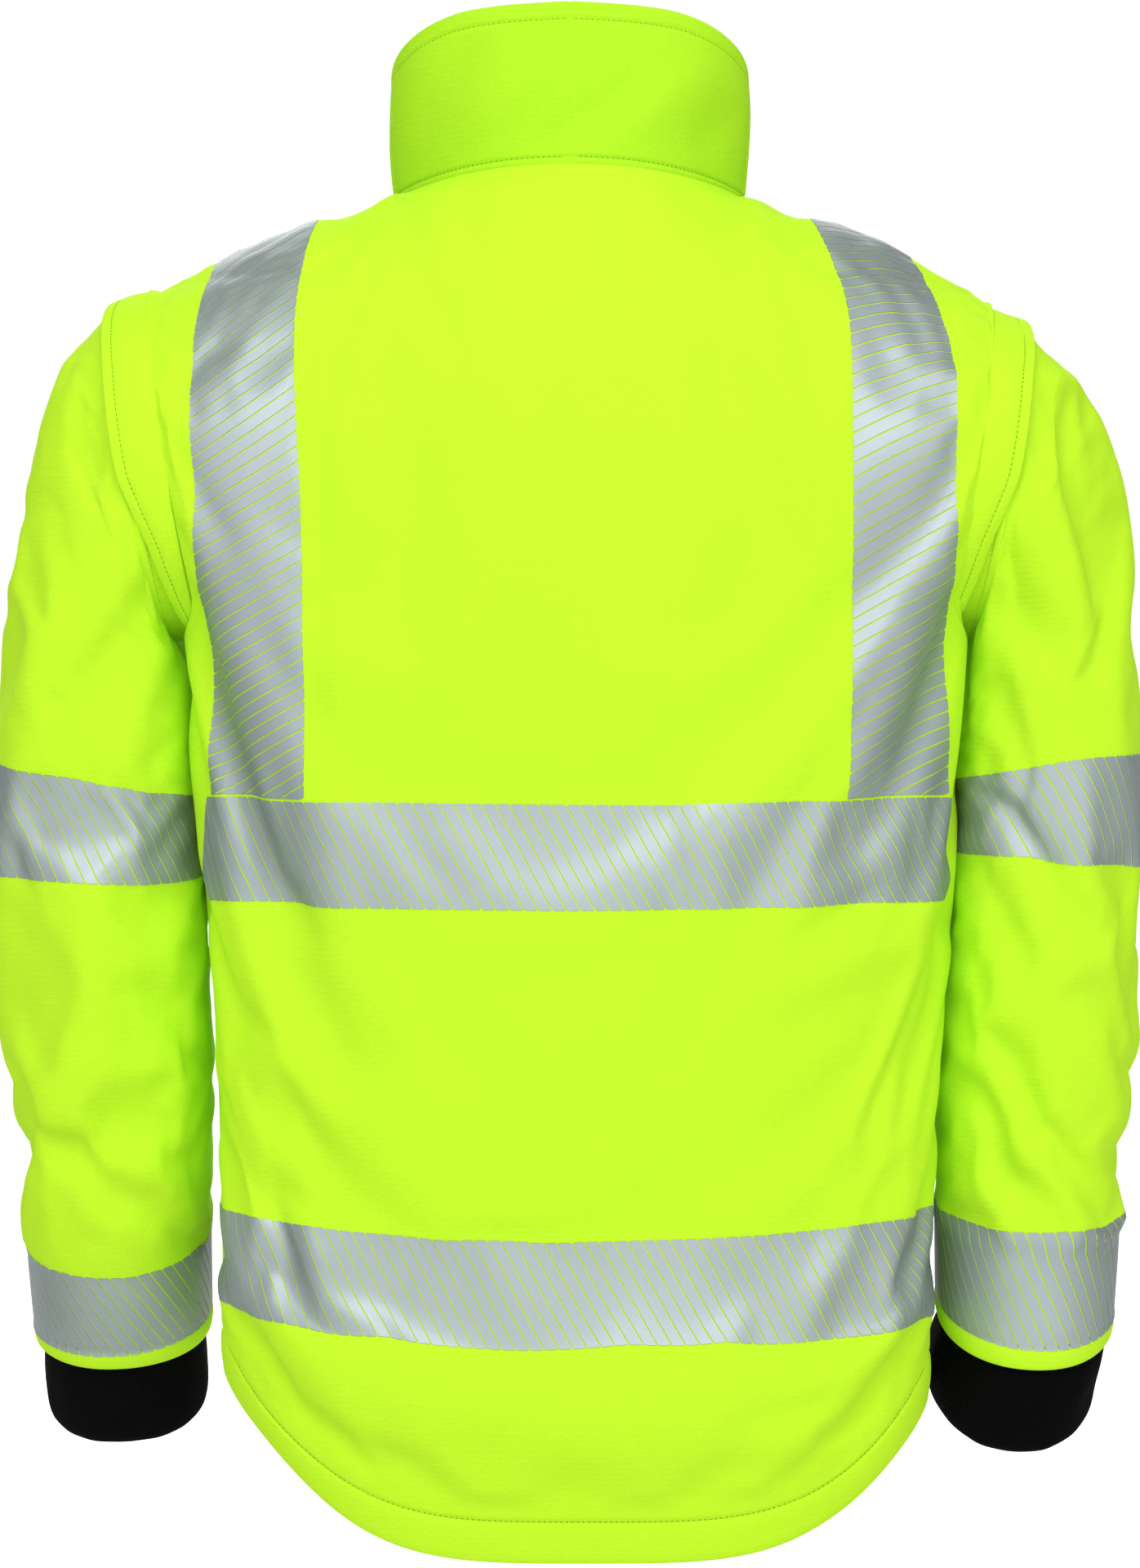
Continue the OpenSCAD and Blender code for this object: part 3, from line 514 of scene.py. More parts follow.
def film_material(name):
    """Retroreflective film: glass-bead grey with a painted reflection that is brightest facing the
    viewer.
    """
    material, tree, shader = new_material(name)
    coords = add_node(tree, "TexCoord").outputs["Object"]
    # painted reflection: the colour ramp runs from pale grey facing the viewer to darker grey at grazing
    # angles
    facing = add_node(tree, "LayerWeight", {"Blend": 0.80}).outputs["Facing"]
    # broad noise patches of painted shade and reflection across the film
    patches = add_noise(tree, coords, scale=16.0, detail=2.0, roughness=0.45)
    grain = add_noise(tree, coords, scale=1500.0, detail=1.0)
    painted_reflection_shift = remap(tree, patches, low=-0.16, high=0.14)
    grain_shift = remap(tree, grain, low=-0.02, high=0.02)
    shade = combine(tree, "ADD", combine(tree, "ADD", facing, painted_reflection_shift), grain_shift)
    ramp = add_node(tree, "ValToRGB", links={0: shade})
    stops = [(0.0, (0.425, 0.475, 0.50)), (0.12, (0.40, 0.45, 0.475)), (0.30, (0.355, 0.402, 0.42)),
             (0.60, (0.295, 0.34, 0.35)), (0.95, (0.225, 0.265, 0.265))]
    elements = ramp.color_ramp.elements
    elements[0].position = stops[0][0]
    elements[1].position = stops[-1][0]
    for position, _ in stops[1:-1]:
        elements.new(position)
    for k, (_, colour) in enumerate(stops):
        elements[k].color = (*colour, 1)
    tree.links.new(ramp.outputs[0], shader.inputs["Base Color"])
    set_values(shader, {"Metallic": 0.25, "Roughness": 0.42, "Specular IOR Level": 0.4})
    add_bump(tree, shader, grain, strength=0.12, distance=0.0002)
    return material


LIME = cloth_material("softshell_lime", (0.512, 0.855, 0.024), (0.455, 0.79, 0.018), glow=0.03)
# the collar is the same lime cloth made darker: painted shade, as the upright collar gets less of the
# light from above
LIME_COLLAR_SHADED = cloth_material("softshell_lime_collar_painted_shade", (0.415, 0.775, 0.020), (0.36, 0.70, 0.015),
                             glow=0.02)
LINING = cloth_material("softshell_lining", (0.40, 0.72, 0.03), (0.32, 0.60, 0.02), glow=0.02,
                        scale=500.0, bump_strength=0.6, sheen=0.5, knit=False)
THREAD = cloth_material("thread_lime", (0.40, 0.74, 0.018), (0.33, 0.64, 0.012), glow=0.02,
                        scale=2500.0, bump_strength=0.3, knit=False)
# needle holes are coloured dark lime: painted shade standing in for the hole's depth
HOLE_SHADE = cloth_material("needle_hole_painted_shade", (0.17, 0.33, 0.007), (0.12, 0.24, 0.005),
                      scale=2500.0, bump_strength=0.3, knit=False)
RIB = cloth_material("rib_black", (0.0032,) * 3, (0.0016,) * 3, scale=700.0, bump_strength=0.5,
                     sheen=0.012, blotch=0.4, specular=0.03)
CORD = cloth_material("cord_black", (0.02,) * 3, (0.01,) * 3, scale=1600.0, bump_strength=0.7,
                      sheen=0.1)
ZIP_TAPE = cloth_material("zip_tape_black", (0.022,) * 3, (0.012,) * 3, scale=1800.0,
                          bump_strength=0.6, sheen=0.1)
ZIP_LIME = cloth_material("zip_tape_lime", (0.50, 0.84, 0.02), (0.42, 0.74, 0.015), glow=0.06,
                          scale=1800.0, bump_strength=0.6, sheen=0.1)
FILM = film_material("reflective_film")
TEETH = plastic_material("zip_teeth_black", (0.02, 0.02, 0.021), roughness=0.38)
TEETH_LIME = plastic_material("zip_teeth_lime", (0.46, 0.8, 0.02), roughness=0.4)
SLIDER = plastic_material("slider_black", (0.018, 0.018, 0.02), roughness=0.32, metallic=0.35)
PLASTIC = plastic_material("cord_lock_black", (0.02, 0.02, 0.02), roughness=0.42)

# ------------------------------------------------------------------ cloth simulation
DRAPE_STEP = 3           # the simulated cloth takes every third row and column
DRAPE_FRAMES = 26
DRAPE_LIMIT = 7.0        # largest shift kept, in mm
HOLD_LEVELS = 25
CLOTH = dict(
    quality=7, mass=0.25, tension_stiffness=30, compression_stiffness=30, shear_stiffness=12,
    bending_stiffness=0.6, tension_damping=8, compression_damping=8, shear_damping=8,
    bending_damping=1.0, air_damping=2.0, vertex_group_mass="sewn", pin_stiffness=0.5)


def blur(grid, passes, loop):
    for _ in range(passes):
        wide = np.pad(grid, ((1, 1), (0, 0), (0, 0)), "edge")
        grid = (wide[:-2] + 2 * wide[1:-1] + wide[2:]) / 4
        wide = np.pad(grid, ((0, 0), (1, 1), (0, 0)), "wrap" if loop else "edge")
        grid = (wide[:, :-2] + 2 * wide[:, 1:-1] + wide[:, 2:]) / 4
    return grid


def simulate(grid, hold, loop, slack):
    """Settle a cloth slightly too large for its outline; returns how far each point moved."""
    scene = bpy.context.scene
    first_frame = scene.frame_current
    mesh = bpy.data.meshes.new("drape")
    mesh.from_pydata((grid * MM).reshape(-1, 3).tolist(), [], quads(*hold.shape, loop).tolist())
    mesh.update()
    ob = bpy.data.objects.new("drape", mesh)
    scene.collection.objects.link(ob)
    group = ob.vertex_groups.new(name="sewn")
    levels = np.round(hold.reshape(-1) * HOLD_LEVELS).astype(int)
    for k in range(1, HOLD_LEVELS + 1):
        members = np.where(levels == k)[0]
        if len(members):
            group.add(members.tolist(), k / HOLD_LEVELS, "REPLACE")
    cloth = ob.modifiers.new("cloth", "CLOTH")
    for key, value in CLOTH.items():
        setattr(cloth.settings, key, value)
    cloth.settings.shrink_min = -slack
    cloth.settings.effector_weights.gravity = 0.5
    cloth.collision_settings.use_collision = False
    cloth.collision_settings.use_self_collision = False
    cloth.point_cache.frame_start = 1
    cloth.point_cache.frame_end = DRAPE_FRAMES
    for k in range(1, DRAPE_FRAMES + 1):
        scene.frame_set(k)
    settled = ob.evaluated_get(bpy.context.evaluated_depsgraph_get())
    result = settled.to_mesh()
    coords = np.empty(len(result.vertices) * 3)
    result.vertices.foreach_get("co", coords)
    settled.to_mesh_clear()
    bpy.data.objects.remove(ob)
    bpy.data.meshes.remove(mesh)
    scene.frame_set(first_frame)
    moved = coords.reshape(grid.shape) * 1000 - grid
    moved[~np.isfinite(moved)] = 0
    return moved


def coarse(count):
    return np.unique(np.append(np.arange(0, count, DRAPE_STEP), count - 1))


def drape(patch, hold, slack):
    """Add simulated wrinkles to a patch; hold is 1 where sewn down and small where free."""
    loop = patch.loop
    row_count, col_count = hold.shape
    rows, cols = coarse(row_count), coarse(col_count)
    row = np.interp(np.arange(row_count), rows, np.arange(len(rows)))
    col = np.interp(np.arange(col_count), cols, np.arange(len(cols)))
    if loop:
        cols = np.arange(0, col_count, DRAPE_STEP)
        col = np.arange(col_count) / DRAPE_STEP
    pick = np.ix_(rows, cols)
    moved = simulate(patch.pts[pick], hold[pick], loop, slack)
    # only the wrinkles are kept, not the broad sag
    moved = moved - 0.97 * blur(moved, 20, loop)
    shift = blur(bilinear(moved, row[:, None], col[None, :], loop), DRAPE_STEP, loop)
    size = np.linalg.norm(shift, axis=-1, keepdims=True)
    shift = shift * (DRAPE_LIMIT * np.tanh(size / DRAPE_LIMIT) / np.maximum(size, 1e-6))
    patch.move(shift * (1 - smooth((hold - 0.55) / 0.4))[..., None])


# ------------------------------------------------------------------ folds
# Fold rows are: start x, start z, end x, end z, width, height (negative for a valley).
BACK_FOLDS = [
    # creases beside each shoulder film
    (122, -70, 127, -325, 7, -2.2), (-118, -60, -126, -300, 9, -1.6), (110, -110, 100, -300, 22, 1.6),
    # faint drag lines across the middle of the back
    (40, -150, -20, -330, 16, -1.3), (10, -130, -50, -290, 18, 1.3), (-60, -180, -95, -330, 14, -1.2),
    (70, -190, 30, -330, 16, 1.2), (0, -60, 60, -240, 26, 1.4), (-30, -60, -80, -210, 24, 1.2),
    (20, -235, 80, -318, 14, -1.1),
    # folds that cross the upper band
    (150, -270, 134, -400, 11, -2.6), (120, -290, 112, -420, 13, 1.9), (-36, -285, -52, -400, 12, -2.4),
    (-64, -280, -72, -410, 14, 1.8), (-122, -290, -150, -390, 13, -2.4), (62, -300, 40, -420, 16, 1.2),
    (0, -300, 10, -410, 16, 1.2),
    # drags out of the side seams below the upper band
    (-178, -345, -90, -392, 9, -1.7), (-176, -372, -60, -424, 13, 1.7), (170, -350, 86, -398, 12, -1.3),
    (-170, -410, -70, -470, 16, 1.4), (172, -430, 90, -476, 15, 1.2), (-60, -410, 60, -440, 22, 1.0),
    (80, -480, -60, -500, 22, -0.9),
    # folds that cross the lower band
    (150, -480, 136, -600, 12, -2.3), (118, -500, 110, -620, 15, 1.6), (-118, -490, -132, -600, 12, -2.2),
    (-150, -500, -156, -610, 10, 1.6), (30, -520, 46, -640, 22, 1.2), (-40, -520, -30, -650, 22, 1.1),
    (-80, -520, -92, -630, 16, -1.2),
    # bunching at the sides of the hem
    (172, -560, 120, -650, 10, -2.4), (160, -545, 96, -640, 13, 2.2), (-174, -560, -118, -648, 10, -2.2),
    (-158, -560, -90, -650, 14, 2.0), (130, -585, 60, -668, 14, -1.2), (-120, -590, -40, -672, 15, -1.2),
]
FRONT_FOLDS = [
    (40, -120, 120, -330, 20, 1.8), (150, -260, 60, -380, 16, -1.8), (120, -330, 40, -470, 20, 1.6),
    (60, -420, 150, -540, 18, -1.6), (30, -520, 110, -600, 18, 1.6), (172, -350, 90, -420, 12, -2.0),
    (165, -400, 80, -500, 15, 1.8), (110, -60, 140, -250, 16, -1.6), (168, -520, 110, -600, 12, -2.0),
    (50, -90, 90, -250, 22, 1.6), (90, -560, 60, -612, 12, 1.4), (150, -480, 128, -600, 12, 1.8),
]


def fold(x, z, x0, z0, x1, z1, width, height):
    """A soft ridge or valley along a line, fading to nothing at both ends."""
    run_x, run_z = x1 - x0, z1 - z0
    length = math.hypot(run_x, run_z)
    along = ((x - x0) * run_x + (z - z0) * run_z) / length / length
    aside = ((x - x0) * run_z - (z - z0) * run_x) / length
    return height * smooth(np.minimum(along, 1 - along) * 3.0) * bump(aside, 0, width)


def folds(table, x, z):
    return sum(fold(x, z, *row) for row in table)


def torso_folds(face, x, z):
    if face == BACK:
        height = folds(BACK_FOLDS, x, z)
    else:
        # the right front's folds are shifted up and down in turn so the fronts differ
        height = sum(fold(np.abs(x), z + np.where(x < 0, 14.0, 0.0) * (1 if k % 2 else -1), *row)
                     for k, row in enumerate(FRONT_FOLDS))
    # long soft undulation of the whole cloth
    return (height + (0.9 * np.sin(x / 37 + 0.8 * np.sin(z / 90)) * np.sin(z / 71 + 1.3)
                      + 0.5 * np.sin(x / 19 - z / 53 + 2) * np.sin(z / 47)))


# ------------------------------------------------------------------ body panels
HEM_STITCH = 20.0                             # stitching above the hem edge
ROW_PER_MM = YOKE_ROW / 480.0                 # row parameter per mm near the hem
HEM_ROW = HEM_STITCH * ROW_PER_MM
FRONT_X = 22.0                                # first full column of a front
LIP_X = np.array([8.3, 8.9, 10, 11.5, 12.6, 13.2, 13.8, 14.6, 16, 18, 20])
LIP_STEP = 0.004                              # column parameter between lip columns
LIP_LIFT = -4.3
LIP_STITCH_X = 13.2


def torso_rows():
    """Row parameters, closer together either side of the hem stitching."""
    upper = 1 - (1 - np.linspace(0, 1, 74)[1:]) ** 1.25
    hem = [HEM_ROW + gap * ROW_PER_MM for gap in (-3, -2, -1.2, -0.6, 0, 0.6, 1.2, 2, 3)]
    rows = np.concatenate([np.linspace(0, YOKE_ROW, 138), YOKE_ROW + (1 - YOKE_ROW) * upper, hem])
    return np.array(sorted(set(np.round(rows, 6))))


TORSO_ROWS = torso_rows()


def hem_relief(above):
    """Puffed turned hem with its stitching pulled in."""
    puff = 0.7 * np.sin(np.clip(above / HEM_STITCH, 0, 1) * np.pi)
    return np.where(above < HEM_STITCH, puff, 0) - 0.95 * bump(above, HEM_STITCH, 1.15)


def torso_hold(col, row, z, above):
    """Held at the side seam, shoulder, yoke and hem; nearly free elsewhere."""
    return np.maximum.reduce([
        smooth((0.06 - (1 - col)) / 0.05), smooth((row - 0.93) / 0.06),
        0.5 * smooth((z + 130) / 60), smooth((40 - above) / 14), np.full_like(z, 0.05)])


def build_back():
    cols = np.concatenate([-np.linspace(1, 0, 84)[:-1], np.linspace(0, 1, 84)])
    col, row = np.meshgrid(cols, TORSO_ROWS)
    out, z = torso_xz(BACK, 0.0, np.abs(col), row)
    x = np.where(col > 0, -1, 1) * out
    patch = Patch(hang(np.stack([x, torso_y(BACK, out, z) + 0.15, z], -1)), TORSO_ROWS, cols)
    inset = 1 - np.abs(col)
    above = z - hem_z(BACK, x)
    edge = smooth(inset * 14) * smooth((1 - row) * 30)
    relief = 1.35 * torso_folds(BACK, x, z) * edge * mix(0.25, 1.0, smooth((above - 8) / 45))
    relief += hem_relief(above) * smooth(inset * 40)
    # the tail tucks in
    relief -= 13.0 * smooth((-z - 585) / 105) ** 1.3 * smooth(inset * 3)
    patch.displace(relief)
    drape(patch, torso_hold(np.abs(col), row, z, above), slack=0.030)
    return patch


def build_front(side):
    cols = np.linspace(0, 1, 92)
    col, row = np.meshgrid(cols, TORSO_ROWS)
    x, z = torso_xz(FRONT, FRONT_X, col, row)
    y = torso_y(FRONT, x, z) - 0.15
    patch = Patch(np.stack([x, y, z], -1), TORSO_ROWS, cols)
    above = z - hem_z(FRONT, x)
    edge = smooth((1 - col) * 14) * smooth((1 - row) * 30) * smooth((x - FRONT_X) / 20)
    patch.displace(1.2 * torso_folds(FRONT, x * side, z) * edge
                   + hem_relief(above) * smooth((1 - col) * 40))
    # a hollow under the wearer's left arm leaves room for the armhole zip's pull
    hollow = bump(z, -231, 18) * bump(y, -23, 19) * smooth(-y / 12) * (np.abs(x) > 120)
    patch.displace((-7.0 if side == LEFT else 0.0) * hollow)
    pocket = smooth((34 - np.hypot(x - 140, np.maximum(np.abs(z + 444) - 66, 0))) / 14)
    hold = np.maximum.reduce([torso_hold(col, row, z, above), smooth((0.05 - col) / 0.04),
                              pocket, smooth(hollow * 3)])
    drape(patch, hold, slack=0.022)
    # the edge rises over the zip tape as a narrow raised lip with a stitched groove
    edge_z = patch.pts[:, :1, 2]
    lift = (LIP_LIFT + 3.2 * smooth((LIP_X - 14.5) / 7.5) + 0.55 * bump(LIP_X, LIP_STITCH_X, 0.5)
            + 0.35 * bump(LIP_X, LIP_X[0], 0.7))
    lip = np.stack(np.broadcast_arrays(LIP_X, zip_y(edge_z) + lift, edge_z), -1)
    pts = np.concatenate([lip, patch.pts], 1)
    cols = np.concatenate([-np.arange(len(LIP_X), 0, -1) * LIP_STEP, cols])
    pts[..., 0] *= side
    if side == RIGHT:
        pts, cols = pts[:, ::-1], -cols[::-1]
    # the zip edge itself stays on the centre line
    far = smooth((np.abs(pts[..., 0]) - 20) / 70)[..., None]
    return Patch(pts + (hang(pts) - pts) * far, TORSO_ROWS, cols)


back_patch = build_back()
front_patches = {side: build_front(side) for side in SIDE_NAME}


def on_torso(face, x, z, lift=0.0):
    """Points and normals on a built panel; x stays on one side of the centre for a front."""
    if face == BACK:
        col, row = torso_params(BACK, 0.0, np.abs(x), z)
        return back_patch.at(row, -np.sign(x) * col, lift)
    side = LEFT if np.mean(x) >= 0 else RIGHT
    col, row = torso_params(FRONT, FRONT_X, np.maximum(np.abs(x), FRONT_X), z)
    # nearer the centre than the first full column, the lip's own columns are used
    lip = -(FRONT_X - np.abs(x)) / (FRONT_X - LIP_X[0]) * len(LIP_X) * LIP_STEP
    return front_patches[side].at(row, np.where(np.abs(x) >= FRONT_X, col, lip) * side, lift)


def panel(name, patch, face, hem_thick, thick, rides, node):
    x, z = patch.pts[..., 0], patch.pts[..., 2]
    thick = np.where(z < hem_z(face, x) + HEM_STITCH, hem_thick, thick)
    place(patch_shell(name, patch, thick, LIME, lining=LINING), rides, node)


panel("Back_Panel", back_patch, BACK, 3.2, 1.9, BODY, "back_panel")
for side, name in SIDE_NAME.items():
    panel(f"Front_Panel_{name}", front_patches[side], FRONT, 3.0, 1.7, side, f"{name}_front_panel")

# ------------------------------------------------------------------ stitches
STITCH, STITCH_GAP = 1.95, 0.75
STITCH_SIDES = 6
# rings along a stitch: radius, height above the cloth
STITCH_RADII = np.array([0.25, 0.9, 1.0, 0.9, 0.25]) * 0.27
STITCH_HEIGHTS = np.array([-0.13, 0.05, 0.11, 0.05, -0.13])
# each needle hole is a flat dome whose dark colour is painted shade
HOLE_RINGS = ((0.46, -0.12), (0.40, 0.10))     # radius, height of a needle hole's flat dome


def stitch_line(pts, nrm):
    """Stitches along a line with a needle hole before each: vertices, faces, material slots."""
    along = lengths(pts)
    count = int(along[-1] // (STITCH + STITCH_GAP))
    starts = np.arange(count) * (STITCH + STITCH_GAP) + STITCH_GAP / 2
    cos, sin = np.cos(around(STITCH_SIDES))[:, None], np.sin(around(STITCH_SIDES))[:, None]

    def axes(distance):
        """Spots on the line with the directions along, across and up, ready for rings."""
        spots = np.stack([np.interp(distance, along, pts[:, k]) for k in range(3)], -1)
        up = unit(np.stack([np.interp(distance, along, nrm[:, k]) for k in range(3)], -1))
        run = unit(np.gradient(spots, axis=-2))
        across = unit(np.cross(run, up))
        return [part[..., None, :] for part in (spots, run, across, up)]

    rings = len(STITCH_RADII)
    spots, run, across, up = axes(starts[:, None] + np.linspace(0, 1, rings) * STITCH)
    tube = (spots + up * STITCH_HEIGHTS[:, None, None]
            + STITCH_RADII[:, None, None] * (cos * across + sin * up))
    verts = [tube.reshape(-1, 3)]
    size = rings * STITCH_SIDES
    ends = [list(range(STITCH_SIDES))[::-1], list(range(size - STITCH_SIDES, size))]
    faces = (repeat(quads(rings, STITCH_SIDES, True), count, size).tolist()
             + repeat(ends, count, size).tolist())
    stitch_faces = len(faces)
    spots, run, across, up = axes(starts - STITCH_GAP / 2)
    for radius, height in HOLE_RINGS:
        verts.append((spots + up * height + radius * (cos * run + sin * across)).reshape(-1, 3))
    low = count * size + np.arange(count * STITCH_SIDES).reshape(count, STITCH_SIDES)
    high = low + count * STITCH_SIDES
    faces += join(low, high).reshape(-1, 4).tolist() + high.tolist() + low[:, ::-1].tolist()
    slots = np.zeros(len(faces), int)
    slots[stitch_faces:] = 1
    return np.concatenate(verts), faces, slots


def stitches(name, lines, rides=BODY):
    verts, faces, slots, used = [], [], [], 0
    for line in lines:
        line_verts, line_faces, line_slots = stitch_line(*line)
        verts.append(line_verts)
        faces += [[k + used for k in face] for face in line_faces]
        slots.append(line_slots)
        used += len(line_verts)
    ob = make(name, np.concatenate(verts), faces, [THREAD, HOLE_SHADE])
    ob.data.polygons.foreach_set("material_index", np.concatenate(slots))
    place(ob, rides)


def hem_stitches(name, face, x, rides):
    stitches(name, [on_torso(face, x, hem_z(face, x) + HEM_STITCH)], rides)


hem_stitches("Stitch_Hem_Back", BACK, np.linspace(-HEM_HALF + 3, HEM_HALF - 3, 500), BODY)
for side, name in SIDE_NAME.items():
    x = np.linspace(24, HEM_HALF - 3, 260) * side
    hem_stitches(f"Stitch_Hem_Front_{name}", FRONT, x, side)
    z = np.linspace(-606, -54, 700)
    line = np.stack([np.full_like(z, LIP_STITCH_X * side), zip_y(z) + LIP_LIFT + 0.55, z], -1)
    normals = unit(np.tile([0, -1.0, ZIP_SLOPE], (len(z), 1)))
    stitches(f"Stitch_Zip_Front_{name}", [(line, normals)], side)

# ------------------------------------------------------------------ segmented reflective film
FILM_WIDTH = 50.8
BAR_PITCH, BAR_GAP = 6.85, 0.86
BAR_LEAN = 0.55            # slant: distance along per distance across
BAR_CORNER = 0.45
FILM_TOP, FILM_BOTTOM = 0.42, -0.1             # heights above the cloth
STRIP_MARGIN = 0.4


def film_bars(name, at, length, lean, rides, node, cross=20, closed=False):
    """Parallelogram bars along a strip; at(along, across, height) gives points on it."""
    across = np.linspace(-FILM_WIDTH / 2, FILM_WIDTH / 2, cross + 1)
    low, high = across[0], across[-1]
    across = np.concatenate([[low, low + BAR_CORNER], across[1:-1], [high - BAR_CORNER, high]])
    across = across[:, None]
    inset = np.zeros_like(across)
    inset[[0, -1]] = BAR_CORNER
    if closed:
        count = round(length / BAR_PITCH)
        pitch = length / count
        numbers = np.arange(count)
    else:
        pitch = BAR_PITCH
        reach = abs(lean) * FILM_WIDTH
        numbers = np.arange(math.floor((STRIP_MARGIN - reach) / pitch),
                            math.ceil((length - STRIP_MARGIN + reach) / pitch))
    numbers = numbers[:, None, None]
    start = numbers * pitch + BAR_GAP / 2 + inset
    end = (numbers + 1) * pitch - BAR_GAP / 2 - inset
    along = start + (end - start) * np.linspace(0, 1, 5) + lean * across
    if not closed:
        along = np.clip(along, STRIP_MARGIN, length - STRIP_MARGIN)
        along = along[(along.max(2) - along.min(2)).max(1) >= 0.6]
    across = np.broadcast_to(across, along.shape)
    count, rows, cols = along.shape
    size = rows * cols
    layers = [at(along, across, height).reshape(count, -1, 3) for height in (FILM_TOP, FILM_BOTTOM)]
    top, edge = quads(rows, cols), border(rows, cols)
    faces = np.concatenate([top[:, ::-1], top + size, join(edge, edge + size)])
    verts = np.concatenate(layers, 1).reshape(-1, 3)
    ob = make(name, verts, repeat(faces, count, 2 * size), [FILM], shading="film")
    place(ob, rides, node)


# height at the sides, sag of the back's middle, rise of the whole band
BANDS = {"Upper": (-339.0, 3.0, 0.0), "Lower": (-551.0, 9.0, 6.0)}
FRONT_SAG = -2.0


def arch(x):
    """1 at the centre, 0 at the sides."""
    return 1 - (x / 180) ** 2


def torso_band(level, face, side=None):
    base, sag, rise = BANDS[level]
    limit = edge_x(base) * 0.9985
    if face == BACK:
        xs = -np.sin(np.linspace(-np.pi / 2, np.pi / 2, 700)) * 184.0
        xs = np.sign(xs) * np.minimum(np.abs(xs), limit)
        name, node, rides = "Back", "back", BODY
        lean = -BAR_LEAN
    else:
        xs = (FRONT_X + np.sin(np.linspace(0, np.pi / 2, 500)) * (limit - FRONT_X)) * side
        name, node, rides = f"Front_{SIDE_NAME[side]}", f"{SIDE_NAME[side]}_front", side
        lean = BAR_LEAN * side
        sag = FRONT_SAG

    def at(along, across, height):
        x = np.interp(along, travel, xs)
        return on_torso(face, x, base - sag * arch(x) + rise + across, height)[0]

    travel = lengths(on_torso(face, xs, base - sag * arch(xs) + rise)[0])
    film_bars(f"Reflective_{level}_{name}", at, travel[-1], lean, rides,
              f"{level.lower()}_band_{node}")


for level in BANDS:
    torso_band(level, BACK)
for side in SIDE_NAME:
    for level in BANDS:
        torso_band(level, FRONT, side)

# centre line of each shoulder strip: height, distance from the middle of the coat
SHOULDER_X = {
    (LEFT, BACK): [[-330, 156], [-250, 157], [-170, 158], [-100, 160.5], [-60, 158], [-30, 153]],
    (LEFT, FRONT): [[-330, 146], [-170, 148], [-60, 149], [-25, 149]],
    (RIGHT, BACK): [[-330, 157], [-250, 159], [-170, 160.5], [-100, 162], [-72, 160], [-50, 154],
                    [-30, 147]],
    (RIGHT, FRONT): [[-330, 146], [-170, 147], [-60, 147], [-25, 147]],
}


def shoulder_film(side, name):
    """One strip: path 0 at the back band, 1 at the shoulder ridge, 2 at the front band."""
    band_top = BANDS["Upper"][0] + FILM_WIDTH / 2 + 0.9

    def height_at(climb, x, face):
        foot = band_top - 3.0 * arch(x) * (1 if face == BACK else -0.667)
        turn = np.clip((climb - 0.5) / 0.5, 0, 1) * np.pi / 2
        high = YOKE_Z + (ridge(x) - YOKE_Z) * np.sin(turn) ** (1 / ARC_POWER)
        return np.where(climb < 0.5, mix(foot, YOKE_Z, climb / 0.5), high)

    def point(path, across, lift):
        out = np.empty(path.shape + (3,))
        for face, chosen in ((BACK, path <= 1), (FRONT, path > 1)):
            climb = path[chosen] if face == BACK else 2 - path[chosen]
            centre = curve(SHOULDER_X[side, face], height_at(climb, 150.0, face))
            x = centre + across[chosen]
            pts, nrm = on_torso(face, x * side, height_at(climb, x, face))
            # over the ridge both faces' normals turn upward so the film stays smooth
            share = smooth((climb - 0.93) / 0.07)[:, None]
            nrm = unit(nrm * (1 - share) + np.array([0.2 * side, 0, 1.0]) * share)
            out[chosen] = pts + nrm * lift
        return out

    def at(along, across, height):
        return point(np.interp(along, travel, path), across, height)

    path = np.linspace(0.0, 2.0, 1400)
    travel = lengths(point(path, np.zeros_like(path), 0.0))
    film_bars(f"Reflective_Shoulder_{name}", at, travel[-1], -0.58 * side, side,
              f"{name}_shoulder_tape", cross=22)


for side, name in SIDE_NAME.items():
    shoulder_film(side, name)

# ------------------------------------------------------------------ armholes
ARM_CENTRE = np.array([ARM_X, 0, ARM_Z])
ARM_AXIS = np.array([math.cos(ARM_TILT), 0, -math.sin(ARM_TILT)])
ARM_UP = np.array([math.sin(ARM_TILT), 0, math.cos(ARM_TILT)])
ARM_BACK = np.array([0, 1.0, 0])
CAP_SEGMENTS = 240
CAP_START = -4.2
CAP_STITCH = 5.0          # stitching in from the free edge
# degrees from the top of the armhole, width of the cap
CAP_WIDTH = [[0, 18.5], [28, 23.5], [60, 24.5], [93, 24], [104, 20.5], [117, 15.5], [130, 12.5],
             [146, 9], [165, 5.5], [180, 4.5]]
CAP_ROWS = np.array([0, 0.03, 0.08, 0.14, 0.2, 0.26, 0.3, 0.36, 0.45, 0.55, 0.65, 0.72, 0.76, 0.8,
                     0.86, 0.92, 0.97, 1.0])
